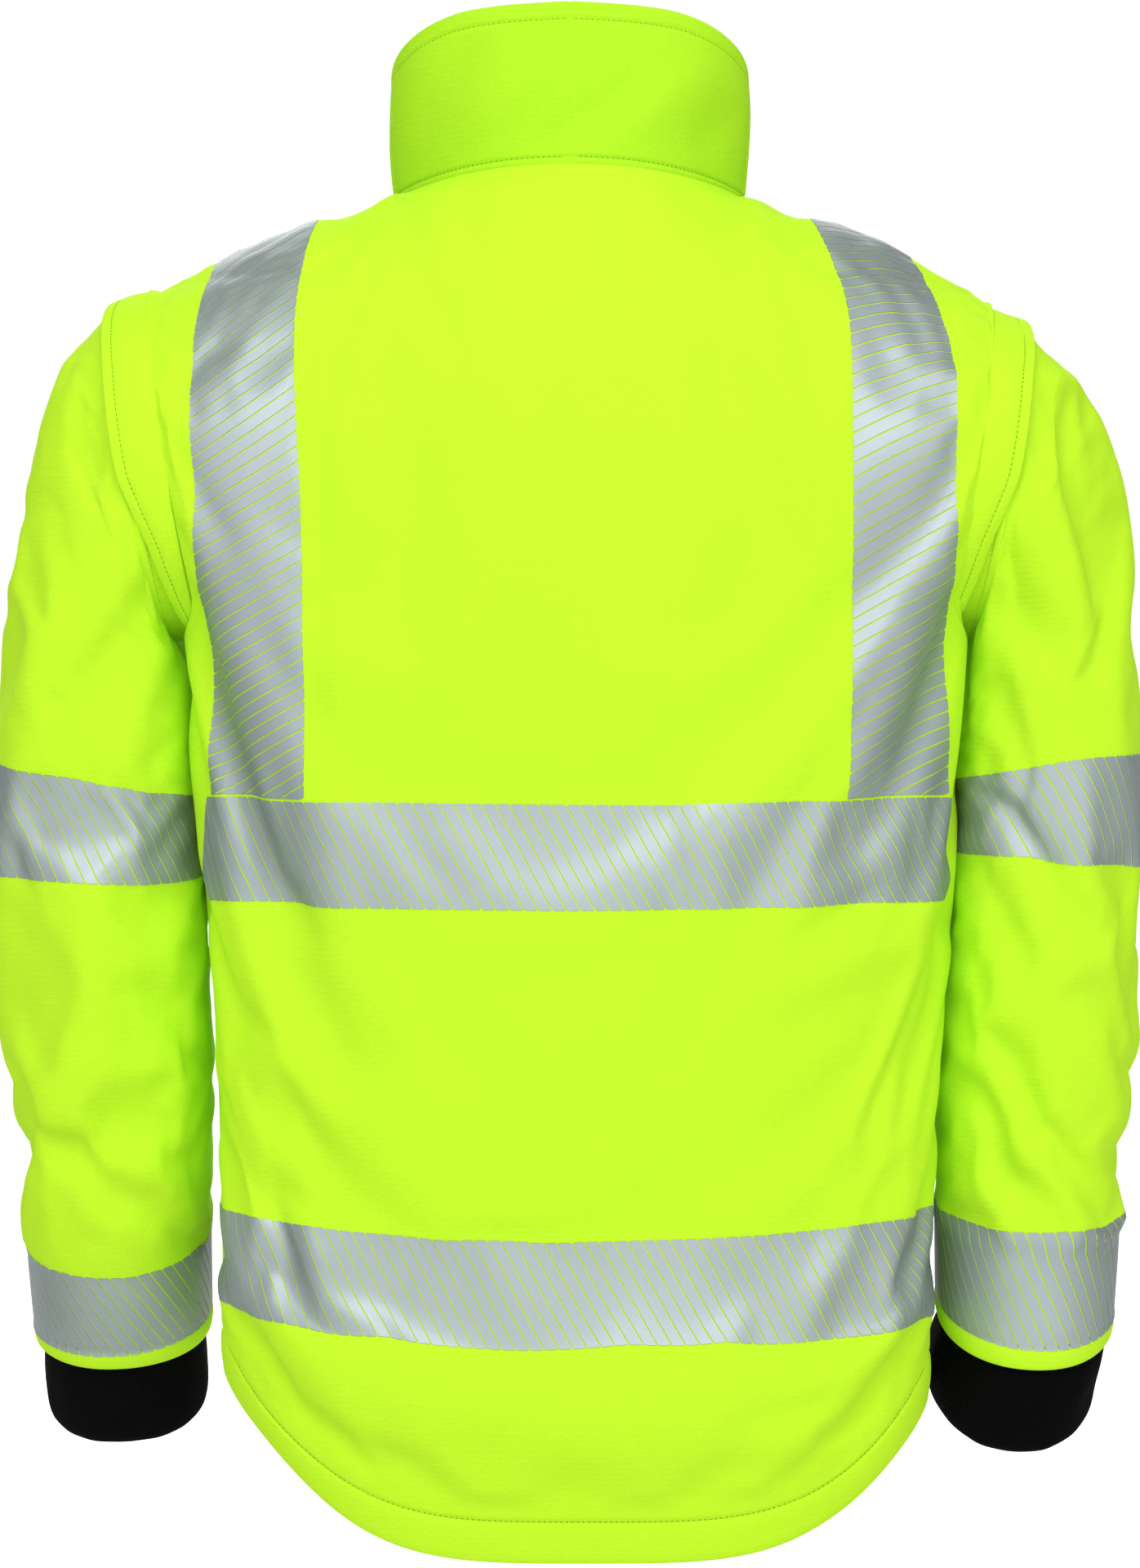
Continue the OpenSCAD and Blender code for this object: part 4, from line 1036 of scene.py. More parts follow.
# radius, distance out along the axis
INSET_PROFILE = [(93.0, -3.4), (92.2, -6.5), (90.0, -9.0), (87.6, -10.5), (86.9, -12.0)]
SLEEVE_INSET_PROFILE = [(86.9, 12.0), (87.2, 13.2), (87.6, 14.2), (87.4, 15.2)]
TAPE_RADIUS = 86.3
TAPE_IN, TAPE_OUT = 2.0, 12.5                  # tape edges either side of the zip line
TEETH_COUNT = 176
TOOTH_RADII = np.array([84.85, 87.15])
TOOTH_HALF_ANGLE = 0.85 / 86.0
TOOTH_REACH = np.array([0.6, 1.2, 2.1])        # distance from the zip line
TOOTH_WIDTH = np.array([0.62, 1.0, 1.0])       # relative width at each reach
TOOTH_FACES = [[0, 2, 3, 1], [6, 7, 9, 8], [0, 6, 8, 2], [1, 3, 9, 7], [2, 4, 5, 3],
               [8, 9, 11, 10], [2, 8, 10, 4], [3, 5, 11, 9], [0, 1, 7, 6], [4, 10, 11, 5]]


def arm(angle, radius, out, side):
    """Point round the armhole axis: angle 0 at the top, a quarter turn at the back."""
    spoke = np.cos(angle)[..., None] * ARM_UP + np.sin(angle)[..., None] * ARM_BACK
    pts = ARM_CENTRE + np.asarray(radius)[..., None] * spoke + np.asarray(out)[..., None] * ARM_AXIS
    pts[..., 0] *= side
    return droop(pts)


def arm_ring(name, side, profile, segments, thick, material, rim=3):
    grid = np.stack([arm(around(segments), radius, out, side) for radius, out in profile])
    patch = Patch(grid, loop=True, away=grid - ARM_CENTRE * [side, 1, 1])
    return patch_shell(name, patch, thick, material, rim=rim)


def armhole_cap(side, name):
    """Band that folds over the joining seam, then drapes on to the sleeve."""
    turn = around(CAP_SEGMENTS)
    degrees = np.degrees(np.minimum(turn, 2 * np.pi - turn))
    width = curve(CAP_WIDTH, degrees) * (1.0 if side == LEFT else 0.92)
    share = CAP_ROWS[:, None]
    top = np.exp(-(degrees / 48) ** 2) * (1.0 if side == RIGHT else 0.5)
    start, end = 93.6 - 3.4 * top, 89.6 - 1.1 * top
    radius = (start + (end - start) * share**1.6
              + 0.9 * (1 - 0.8 * top) * np.sin(np.pi * share) * smooth(width / 14)
              + 0.7 * (1 - 0.7 * top) * np.sin(turn * 5 + 0.7) * share * smooth(width / 20)
              - 0.5 * bump((1 - share) * width, CAP_STITCH, 0.9))
    pts = arm(turn, radius, CAP_START + width * share, side)
    if side == LEFT:
        pts = pts[:, ::-1]
    centre = ARM_CENTRE * [side, 1, 1]
    patch = Patch(pts, loop=True, away=pts - centre)
    ob = patch_shell(f"Armhole_Cap_{name}", patch, 1.9 - 0.8 * top, LIME, lining=LINING)
    place(ob, BODY, f"{name}_armhole_cap")
    # stitches along the free edge, where the cap is wide enough
    stitch_at = 1 - CAP_STITCH / np.maximum(width, 5.6)
    stitch_radius = np.array([np.interp(stitch_at[k], CAP_ROWS, radius[:, k])
                              for k in range(CAP_SEGMENTS)])
    line = arm(turn, stitch_radius, CAP_START + width * stitch_at, side)
    axis = ARM_AXIS * [side, 1, 1]
    spoke = line - centre
    normals = unit(spoke - (spoke @ axis)[:, None] * axis)
    # start at the bottom so that the stitched part is unbroken
    half = CAP_SEGMENTS // 2
    wide = np.roll(width > 8, half)
    stitches(f"Stitch_Cap_{name}", [(np.roll(line, half, 0)[wide], np.roll(normals, half, 0)[wide])])


def armhole_zip_half(side, name, part, body, node):
    """Tape and moulded teeth on one edge of the ring zip."""
    way, low, high, phase = ((-1.0, -TAPE_OUT, -TAPE_IN, 0.0) if part == "Body"
                             else (1.0, TAPE_IN, TAPE_OUT, 0.5))
    profile = [(TAPE_RADIUS, out) for out in np.linspace(low, high, 7)]
    ob = arm_ring(f"Zip_Tape_{part}_{name}", side, profile, 360, 0.6, ZIP_LIME, rim=2)
    place(ob, body, node)
    # array axes: tooth, radius, reach, side of the tooth
    middle = ((np.arange(TEETH_COUNT) + phase) * 2 * np.pi / TEETH_COUNT)[:, None, None, None]
    spread = np.array([-1, 1]) * TOOTH_HALF_ANGLE * TOOTH_WIDTH[:, None]
    pts = arm(middle + spread, TOOTH_RADII[:, None, None], way * TOOTH_REACH[:, None], side)
    ob = make(f"Zip_Teeth_{part}_{name}", pts.reshape(-1, 3), repeat(TOOTH_FACES, TEETH_COUNT, 12),
              [TEETH_LIME], shading="flat")
    place(ob, body)


for side, name in SIDE_NAME.items():
    armhole_cap(side, name)
    # strip from the joining seam in to the zip tape
    ob = arm_ring(f"Armhole_Inset_{name}", side, INSET_PROFILE, 180, 0.9, LIME)
    place(ob, BODY)
    armhole_zip_half(side, name, "Body", BODY, f"{name}_armhole_stringer")
    armhole_zip_half(side, name, "Sleeve", f"{name}_sleeve_body", f"{name}_sleeve_stringer")

# ------------------------------------------------------------------ sleeves
SLEEVE_SEGMENTS = 150
SLEEVE_LENGTH = 672.0       # mm of cloth for the whole share near the hem
SLEEVE_HEM = 9.5            # stitching above the sleeve hem
SLEEVE_POWER = 2.15
SLEEVE_TURN_MM = 52.0       # mm round the sleeve per radian
# outer line: share of the way down, left x, left z, right x, right z
SLEEVE_OUTER = [
    [0, 228.5, -61.5, 228.5, -61.5], [.05, 236.5, -69.5, 234, -69.5], [.1, 245, -79, 242, -80.5],
    [.16, 256.5, -94.5, 253.5, -98], [.24, 268, -124, 267, -126], [.32, 276, -161, 277.5, -160],
    [.42, 287, -213, 284, -208], [.55, 293, -290, 288.5, -284], [.66, 292, -365, 291, -358],
    [.78, 288.5, -448, 288.5, -440], [.9, 286, -528, 285, -516], [1, 284, -596, 280.5, -582]]
# inner line, same columns
SLEEVE_INNER = [
    [0, 204.5, -232, 204.5, -232], [.1, 201, -236, 203, -236], [.2, 197, -243, 201, -243],
    [.3, 193.8, -252, 199.2, -252], [.42, 191.2, -275, 198, -275], [.55, 189.6, -320, 196.3, -318],
    [.66, 187, -382, 193.6, -376], [.78, 185.2, -456, 189.4, -446], [.9, 189, -530, 189.4, -518],
    [1, 191, -594, 190, -580]]
# share of the way down, then: y of the middle, half depth, lean of the cross-section
SLEEVE_Y = {
    LEFT: [[0, 0], [.3, 1], [.5, -1], [.62, -6], [.74, -16], [.86, -36], [.93, -54], [1, -77]],
    RIGHT: [[0, 0], [.3, 2], [.5, 2], [.62, 0], [.74, -6], [.86, -14], [.95, -20], [1, -23]]}
SLEEVE_DEPTH = {
    LEFT: [[0, 86], [.1, 83.5], [.24, 76], [.4, 69], [.55, 64], [.7, 60], [.86, 56], [.93, 51.5],
           [1, 46]],
    RIGHT: [[0, 86], [.1, 83.5], [.24, 76], [.4, 69], [.55, 64], [.7, 60], [.85, 56], [1, 51]]}
SLEEVE_LEAN = {
    LEFT: [[0, 0], [.3, 0], [.5, .04], [.66, .14], [.8, .26], [.92, .34], [1, .36]],
    RIGHT: [[0, 0], [.3, 0], [.5, .02], [.66, .05], [.8, .09], [.88, .14], [.94, .28], [1, .42]]}
# fold rows whose x is the distance round from the sleeve's back centre line
SLEEVE_FOLDS = {
    LEFT: [
        (-26, -118, -60, -260, 12, -2.6), (-8, -120, -30, -300, 14, 2.4),
        (30, -150, -20, -300, 10, -2.4), (44, -165, 10, -330, 12, 2.4),
        (60, -200, 40, -330, 10, -2.0), (-60, -150, -80, -320, 14, 2.2),
        (20, -330, -40, -420, 13, 1.7), (50, -350, 0, -450, 12, -1.9),
        (-20, -390, -70, -470, 12, -1.6), (60, -420, 10, -500, 13, 1.9),
        (40, -470, -30, -540, 12, -1.7), (-10, -480, -70, -550, 13, 1.6),
        (70, -300, 60, -420, 12, 1.6)],
    RIGHT: [
        (-12, -112, -34, -270, 10, -3.0), (8, -110, -8, -300, 13, 2.6),
        (-40, -130, -58, -330, 12, 2.6), (-66, -150, -72, -360, 9, -2.6),
        (34, -140, 16, -290, 11, -2.2), (52, -170, 34, -330, 12, 2.0),
        (-30, -300, 20, -400, 13, -1.7), (-60, -340, -10, -450, 14, 1.9),
        (40, -330, 60, -440, 12, -1.7), (10, -410, 60, -500, 14, 1.7),
        (-50, -440, 0, -540, 12, -1.9), (-20, -470, 40, -560, 13, 1.6)],
}


def sleeve_lines(side, share):
    """x and z of the outer line, then x and z of the inner line."""
    column = 1 if side == LEFT else 3
    return [curve(table, share, column + k)
            for table in (SLEEVE_OUTER, SLEEVE_INNER) for k in (0, 1)]


def sleeve_points(side, share, angle):
    """Angle 0 is the outer line, a quarter turn the back."""
    outer_x, outer_z, inner_x, inner_z = sleeve_lines(side, share)
    across = signed_power(np.cos(angle), 2 / SLEEVE_POWER)
    back = signed_power(np.sin(angle), 2 / SLEEVE_POWER)
    half = curve(SLEEVE_DEPTH[side], share)
    x = (outer_x + inner_x) / 2 + (outer_x - inner_x) / 2 * across
    y = curve(SLEEVE_Y[side], share) + half * back
    z = (outer_z + inner_z) / 2 + (outer_z - inner_z) / 2 * across
    z = z - curve(SLEEVE_LEAN[side], share) * half * back
    return droop(np.stack([x * side, y, z], -1))


def build_sleeve(side):
    rows = np.concatenate([np.linspace(0, 0.1, 14)[:-1], np.linspace(0.1, 0.93, 170)[:-1],
                           np.linspace(0.93, 1.0, 30)])
    angle, share = np.meshgrid(around(SLEEVE_SEGMENTS), rows)
    pts = sleeve_points(side, share, angle)
    patch = Patch(pts, rows, loop=True, away=pts - pts.mean(1, keepdims=True))
    z = pts[..., 2]

    def round_from(offset):
        return ((offset + np.pi) % (2 * np.pi) - np.pi) * SLEEVE_TURN_MM

    relief = folds(SLEEVE_FOLDS[side], round_from(np.pi / 2 - angle), z)
    # the front of the sleeve takes a softer copy of the other sleeve's folds
    relief += 0.8 * folds(SLEEVE_FOLDS[-side], round_from(angle - 3 * np.pi / 2), z + 12)
    relief += (0.9 * np.sin(angle * 3 + z / 45) * np.sin(z / 63 + 0.6)
               + 0.5 * np.sin(angle * 5 - z / 33 + 1))
    relief *= smooth((share - 0.03) / 0.12) * mix(1.0, 0.35, smooth((share - 0.86) / 0.1))
    # the inner face is kept from touching the body
    inner = np.clip(-np.cos(angle), 0, 1)
    relief = relief * (1 - 0.75 * inner**2) * 1.25
    # turned hem: puffed, with the stitching pulled in
    above = (1 - share) * SLEEVE_LENGTH
    puff = 0.6 * np.sin(np.clip(above / SLEEVE_HEM, 0, 1) * np.pi)
    relief += np.where(above < SLEEVE_HEM, puff, 0) - 0.5 * bump(above, SLEEVE_HEM, 0.9)
    patch.displace(relief)
    hold = np.maximum.reduce([smooth((0.22 - share) / 0.17), smooth((share - 0.90) / 0.03),
                              0.62 * inner, np.full_like(share, 0.05)])
    drape(patch, hold, slack=0.045)
    return patch


sleeves = {side: build_sleeve(side) for side in SIDE_NAME}
for side, name in SIDE_NAME.items():
    patch = sleeves[side]
    body = f"{name}_sleeve_body"
    above = (1 - patch.rows)[:, None] * SLEEVE_LENGTH
    ob = patch_shell(f"Sleeve_{name}", patch, np.where(above < SLEEVE_HEM, 2.6, 1.7), LIME,
                     lining=LINING)
    place(ob, body, f"{name}_sleeve")
    line = patch.at(1 - SLEEVE_HEM / SLEEVE_LENGTH, np.linspace(0, 1, 400))
    stitches(f"Stitch_Sleeve_Hem_{name}", [line], body)
    # cloth that joins the sleeve head to its zip tape
    ob = arm_ring(f"Sleeve_Inset_{name}", side, SLEEVE_INSET_PROFILE, 180, 0.9, LIME, rim=2)
    place(ob, body)


def sleeve_band(side, level, height, tilt):
    """Closed strip of film; tilt lifts it on the inner side, as a share of the sleeve."""
    patch, name = sleeves[side], SIDE_NAME[side]
    _, outer_z, _, inner_z = sleeve_lines(side, patch.rows)
    middle = np.interp(-height, -(outer_z + inner_z) / 2, patch.rows)
    turns = np.linspace(0, 1, 601)
    step = 0.02
    apart = patch.at(middle + step, turns)[0] - patch.at(middle - step, turns)[0]
    share_per_mm = np.median(2 * step / np.linalg.norm(apart, axis=1))

    def on_band(turn, across, lift):
        row = middle - tilt * (1 - np.cos(turn * 2 * np.pi)) - across * share_per_mm
        return patch.at(row, turn, lift)[0]

    def at(along, across, lift):
        return on_band(np.interp(along % travel[-1], travel, turns), across, lift)

    travel = lengths(on_band(turns, 0.0, 0.0))
    film_bars(f"Reflective_{level}_Sleeve_{name}", at, travel[-1], -BAR_LEAN * side,
              f"{name}_sleeve_body", f"{name}_{level.lower()}_sleeve_tape", closed=True)


sleeve_band(LEFT, "Upper", height=-332.0, tilt=0.012)
sleeve_band(LEFT, "Lower", height=-566.0, tilt=0.002)
sleeve_band(RIGHT, "Upper", height=-331.0, tilt=0.023)
sleeve_band(RIGHT, "Lower", height=-549.0, tilt=0.002)

# ------------------------------------------------------------------ black inner cuffs
# share of the way down the cuff (negative inside the sleeve), growth from the sleeve's hem
CUFF_GROWTH = {
    LEFT: [[-0.5, -7.5], [-0.2, -6.0], [0, -5.0], [0.12, -4.4], [0.35, -3.6], [0.6, -3.4],
           [0.8, -3.9], [0.92, -5.2], [1.0, -7.5]],
    RIGHT: [[-0.5, -7.5], [-0.2, -6.0], [0, -5.0], [0.12, -3.0], [0.35, -1.5], [0.6, -1.5],
            [0.8, -2.6], [0.92, -5.0], [1.0, -9.5]]}
CUFF_LENGTH = {LEFT: 46.0, RIGHT: 50.0}
CUFF_LEAN = {LEFT: 0.48, RIGHT: 0.30}          # forward per mm down


def cuff(side, name):
    angle, share = np.meshgrid(around(120), np.linspace(-0.5, 1.0, 60))
    pts = sleeve_points(side, np.ones_like(angle), angle)
    centre = pts.mean(1, keepdims=True)
    radius = np.linalg.norm(pts - centre, axis=-1, keepdims=True)
    pts = centre + (pts - centre) * (1 + curve(CUFF_GROWTH[side], share)[..., None] / radius)
    down = share * CUFF_LENGTH[side]
    pts[..., 2] -= down
    pts[..., 1] -= down * CUFF_LEAN[side]
    if side == RIGHT:
        # the opening dips at the back and is pushed in towards the body
        pts[..., 2] += share.clip(0, 1) * 10.0 * (1 - np.sin(angle)) * 0.5
        pts[..., 0] += 6.0 * smooth(share * 1.4)
    # soft ripples of the stretch knit
    ripple = (0.35 * np.sin(angle * 7 + 1.0 * np.sin(share * 5)) * smooth(share * 2)
              + 0.22 * np.sin(angle * 15 + 2 * share)) * mix(1.0, 0.3, smooth((share - 0.55) / 0.4))
    pts = pts + (pts - centre) / radius * ripple[..., None]
    patch = Patch(pts, loop=True, away=pts - centre)
    ob = patch_shell(f"Storm_Cuff_{name}", patch, 1.8, RIB)
    place(ob, f"{name}_sleeve_body", f"{name}_storm_cuff")


for side, name in SIDE_NAME.items():
    cuff(side, name)

# ------------------------------------------------------------------ collar
COLLAR_HEIGHT = 80.0
COLLAR_HALF = 91.6                             # half width of the top edge
COLLAR_BACK, COLLAR_FRONT = 68.0, 76.0         # depths of the top edge
COLLAR_POWER = 2.25
COLLAR_LOW_STITCH, COLLAR_TOP_STITCH = 4.2, 7.6    # from the base, from the top edge
# degrees round from the side (-90 centre front, 90 centre back), height of the top edge
COLLAR_TOP = [[-90, 41], [-60, 42], [-30, 45], [0, 52], [15, 59.5], [30, 66.5], [45, 72.5],
              [60, 76.5], [90, 79.3]]
COLLAR_FOLDS = [
    (60, 10, -10, 66, 11, 1.5), (30, -4, -50, 50, 9, -1.3), (-20, 8, -80, 60, 12, 1.4),
    (86, 16, 40, 70, 9, -1.2), (-60, 4, -88, 40, 9, -1.1)]
COLLAR_ROWS = np.array(sorted(set(np.round(np.concatenate([
    np.linspace(0, 1, 30), [0.02, 0.03, 0.038, 0.044, 0.05, 0.056, 0.062, 0.07, 0.08],
    1 - np.array([0.07, 0.08, 0.088, 0.095, 0.102, 0.11, 0.12])]), 4))))


def neck_ring():
    """Neck edge on the wearer's left, from the centre front to the centre back."""
    x = NECK_HALF * np.sin(np.linspace(0, np.pi / 2, 4000))
    x[-1] = NECK_HALF
    halves = []
    for face, across in ((FRONT, x), (BACK, x[::-1])):
        z = neck_z(face, across)
        y = face * np.maximum(face * torso_y(face, across, z), 0)
        halves.append(np.stack([across, y, z], -1))
    return np.concatenate([halves[0], halves[1][1:]])


NECK_RING = neck_ring()
NECK_SHARE = lengths(NECK_RING) / lengths(NECK_RING)[-1]
COLLAR_START = float(np.interp(10.0, NECK_RING[:3999, 0], NECK_SHARE[:3999]))


def collar(side, name):
    cols = np.linspace(COLLAR_START, 1, 120)
    col, row = np.meshgrid(cols, COLLAR_ROWS)
    base_x, base_y, base_z = [np.interp(col, NECK_SHARE, NECK_RING[:, k]) for k in range(3)]
    # the top edge is a rounder ring, matched to the base by the share of its length
    turn = np.linspace(-np.pi / 2, np.pi / 2, 2000)
    top_depth = np.where(turn >= 0, COLLAR_BACK, COLLAR_FRONT)
    ring_x = COLLAR_HALF * np.cos(turn) ** (2 / COLLAR_POWER)
    ring_y = top_depth * signed_power(np.sin(turn), 2 / COLLAR_POWER)
    travel = lengths(np.stack([ring_x, ring_y], -1))
    travel = travel / travel[-1]
    top_x, top_y, top_turn = [np.interp(col, travel, part) for part in (ring_x, ring_y, turn)]
    top_z = curve(COLLAR_TOP, np.degrees(top_turn))
    share = smooth(row * 1.1) * 0.75 + row * 0.25
    x = mix(base_x, top_x, share)
    y = mix(base_y, top_y, share)
    size = np.maximum(np.hypot(x / 92, y / 72), 0.3)
    bulge = 1.6 * np.sin(np.pi * np.clip(row * 1.05, 0, 1))
    x = x + bulge * x / 92 / size
    y = y + bulge * y / 72 / size
    z = base_z - 1.0 + (top_z - base_z + 1.0) * row
    # the front edge lies on the straight line of the zip, lifted over the tape
    y = mix(y, zip_y(z) - 3.4, smooth((24 - x) / 14) * (col < 0.4))
    x = np.where(col <= COLLAR_START + 1e-6, 9.0, x)
    x[:, -1] = 0.0
    pts = np.stack([x * side, y, z], -1)
    if side == RIGHT:
        pts, cols = pts[:, ::-1], -cols[::-1]
    patch = Patch(pts, COLLAR_ROWS, cols)
    centre_back = -1 if side == LEFT else 0

    def square_centre_back():
        patch.nrm[:, centre_back, 0] = 0
        patch.nrm = unit(patch.nrm)

    square_centre_back()
    x, y, z = np.moveaxis(patch.pts, -1, 0)
    back_share = smooth((y + 20) / 40)
    relief = 1.5 * folds(COLLAR_FOLDS, x, z) * back_share
    round_x = np.arctan2(x, -y) * 70
    relief += (1 - back_share) * (1.1 * np.sin(round_x / 14 + z / 18) * np.sin(z / 30 + 1))
    up = row * COLLAR_HEIGHT
    below_top = COLLAR_HEIGHT - up
    relief *= smooth(up / 8) * smooth(below_top / 8)
    # grooves of the two stitch lines, and a roll at the base
    relief -= 0.9 * bump(up, COLLAR_LOW_STITCH, 0.9) + 0.8 * bump(below_top, COLLAR_TOP_STITCH, 1.0)
    relief += 0.9 * bump(up, 1.8, 1.4)
    patch.displace(relief)
    # both halves share the centre-back line
    patch.pts[:, centre_back, 0] = 0.0
    square_centre_back()
    # the collar takes the darker lime with painted shade
    ob = patch_shell(f"Collar_{name}", patch, 1.9, LIME_COLLAR_SHADED, lining=LINING, rim=4)
    place(ob, side, "collar" if side == LEFT else None)
    # the facing inside is a separate layer that stops one column short of the front edge
    rows = between(COLLAR_ROWS, 0.03, 0.985)
    keep = slice(1, None) if side == LEFT else slice(0, -1)
    nrm = patch.nrm[rows]
    gap = 2.0 + 0.15 * np.sin(np.linspace(0, 40, len(cols)))[None, :, None]
    inner = patch.pts[rows] - nrm * gap
    ob = shell(f"Collar_Facing_{name}", inner[:, keep], nrm[:, keep], 1.5, LINING)
    place(ob, side, "collar_facing" if side == LEFT else None)
    along = np.linspace(COLLAR_START + 0.012, 0.9995, 500) * side
    lines = [patch.at(height, along) for height in (COLLAR_LOW_STITCH / COLLAR_HEIGHT,
                                                    1 - COLLAR_TOP_STITCH / COLLAR_HEIGHT)]
    stitches(f"Stitch_Collar_{name}", lines, side)


for side, name in SIDE_NAME.items():
    collar(side, name)


# ------------------------------------------------------------------ inside the back
def hem_facing():
    """Turned-up hem inside the tail."""
    rows = between(back_patch.rows, 0.0012, HEM_ROW + 0.0009)
    pts, nrm = back_patch.pts[rows], back_patch.nrm[rows]
    ob = shell("Hem_Facing", pts - nrm * 3.5, nrm, 1.0, LINING, rim=2)
    place(ob, BODY, "hem_facing")


def hem_drawcord():
    """Round braided cord that runs inside the back hem."""
    across = np.linspace(-0.965, 0.965, 620) * HEM_HALF
    path, _ = on_torso(BACK, across * 0.985, hem_z(BACK, across) + 11.0, -5.9)
    run = unit(np.gradient(path, axis=0))
    aside = unit(np.cross(run, np.array([0, 0, 1.0])))[:, None]
    upward = np.cross(aside, run[:, None])
    sides = 12
    angle = around(sides)
    twist = lengths(path)[:, None] * 1.1
    braid = np.abs(np.sin(angle * 2 + twist)) + np.abs(np.sin(angle * 2 - twist))
    radius = 0.95 * (1 + 0.10 * braid)
    ring = np.cos(angle)[:, None] * aside + np.sin(angle)[:, None] * upward
    verts = (path[:, None] + radius[..., None] * ring).reshape(-1, 3)
    faces = quads(len(path), sides, True).tolist()
    faces += [list(range(sides)), list(range(len(verts) - sides, len(verts)))[::-1]]
    place(make("Hem_Drawcord", verts, faces, [CORD]), BODY, "hem_drawcord")


def hang_loop():
    """Loop at the centre back of the neck."""
    along = np.linspace(-1, 1, 61)
    across = np.linspace(-3.6, 3.6, 9)[:, None]
    x = 31 * along + 0 * across
    z = -15.5 + 13.0 * np.abs(along) ** 3.2 + across * (1 - 0.25 * np.abs(along) ** 3)
    pts, nrm = on_torso(BACK, x, z, -4.6)
    pts = pts - nrm * (1.8 * np.cos(along * np.pi / 2)[None, :, None] ** 2)
    ob = shell("Hang_Loop", pts[:, ::-1], nrm[:, ::-1], 1.1, ZIP_TAPE)
    place(ob, BODY, "hang_loop")


hem_facing()
hem_drawcord()
hang_loop()

# ------------------------------------------------------------------ fronts: facing and pockets
POCKET_X, POCKET_Z = 140.0, -444.0
WELT_YAW, WELT_TILT = math.radians(36), math.radians(-2.3)
# rings of the welt: half width, half length, height, share that follows the front's surface
WELT_RINGS = [
    (6.3, 69.4, 0.45, 0), (6.5, 69.8, 1.15, 0), (7.2, 70.6, 1.6, 0), (9.0, 72.5, 1.5, 0),
    (10.6, 74.0, 0.9, 0), (11.2, 74.6, 0.6, 0.02), (11.9, 75.3, 0.8, 0.06), (14, 77.5, 0.8, 0.3),
    (17, 80.5, 0.9, 0.68), (20, 83.5, 0.9, 0.93), (22, 85.5, 0.5, 1)]
WELT_STITCH_RING = 5


def front_facing(side, name):
    """Strip of lining down the front edge."""
    patch = front_patches[side]
    out = np.abs(patch.pts[patch.pts.shape[0] // 2, :, 0])
    pick = np.ix_(between(patch.rows, 0.012, 0.985), between(out, 13.9, 64.0))
    pts, nrm = patch.pts[pick], patch.nrm[pick]
    ob = shell(f"Front_Facing_{name}", pts - nrm * 2.5, nrm, 1.2, LINING)
    place(ob, side, f"{name}_front_facing")


def pocket_bag(side, name):
    """Bag with sewn-down edges, puffed in the middle, with soft creases."""
    across, up = np.meshgrid(np.linspace(-1, 1, 48), np.linspace(-1, 1, 96))
    half = 41 * (1 - 0.22 * np.clip((np.abs(up) - 0.55) / 0.45, 0, 1) ** 2)
    x = 97 + half * across
    z = -482.5 + 106 * up * (1 - 0.06 * np.clip((np.abs(across) - 0.6) / 0.4, 0, 1) ** 2)
    pts, nrm = on_torso(FRONT, x * side, z, -2.7)
    if side == RIGHT:
        pts, nrm = pts[:, ::-1], nrm[:, ::-1]
    puff = (1 - np.abs(across) ** 3.0) * (1 - np.abs(up) ** 5.0)
    thick = (1.0 + 4.2 * puff + 0.6 * puff * np.sin(across * 6 + up * 4)
             + 0.5 * puff * np.sin(up * 15 + 2 * across))
    ob = shell(f"Pocket_Bag_{name}", pts, nrm, thick, LINING)
    place(ob, side, f"{name}_pocket_bag")


def pocket_welt(side, name):
    """Raised welt that carries the pocket zip, shaped on the left and mirrored."""
    mirror = [side, 1, 1]
    across = np.array([math.cos(WELT_YAW), math.sin(WELT_YAW), 0])
    inward = np.array([-math.sin(WELT_YAW), math.cos(WELT_YAW), 0])
    along = -math.sin(WELT_TILT) * inward + math.cos(WELT_TILT) * np.array([0, 0, 1.0])
    out = -(math.cos(WELT_TILT) * inward + math.sin(WELT_TILT) * np.array([0, 0, 1.0]))
    middle = np.array([POCKET_X, float(torso_y(FRONT, POCKET_X, POCKET_Z)) - 6.4, POCKET_Z])
    angle = around(240)
    cos = signed_power(np.cos(angle), 0.5)[:, None]
    sin = signed_power(np.sin(angle), 0.5)[:, None]
    rings = []
    for half_width, half_length, height, follow in WELT_RINGS:
        flat = middle + half_width * cos * across + half_length * sin * along + height * out
        surface, _ = on_torso(FRONT, flat[:, 0] * side, flat[:, 2], height)
        rings.append(flat * (1 - follow) + surface * mirror * follow)
    pts = np.array(rings) * mirror
    if side == LEFT:
        pts = pts[:, ::-1]
    patch = Patch(pts, loop=True, away=out * mirror)
    ob = patch_shell(f"Pocket_Welt_{name}", patch, 1.0, LIME, rim=2)
    place(ob, side)
    line = [np.concatenate([grid[WELT_STITCH_RING], grid[WELT_STITCH_RING][:1]])
            for grid in (patch.pts, patch.nrm)]
    stitches(f"Stitch_Pocket_{name}", [line], side)


for side, name in SIDE_NAME.items():
    front_facing(side, name)
    pocket_bag(side, name)
    pocket_welt(side, name)


def storm_flap():
    """Flap behind the front zip."""
    x, z = np.meshgrid(np.linspace(-13, 14, 20), np.linspace(-608, 29, 240))
    y = (zip_y(z) + 7.0 + 0.5 * np.sin(z / 31) + 0.35 * np.sin(z / 13 + x / 9)
         - 0.4 * np.cos(x / 14 * np.pi))
    patch = Patch(np.stack([x, y, z], -1), away=np.array([0, -1.0, 0]))
    place(patch_shell("Storm_Flap", patch, 1.2, LINING), LEFT, "storm_flap")


storm_flap()

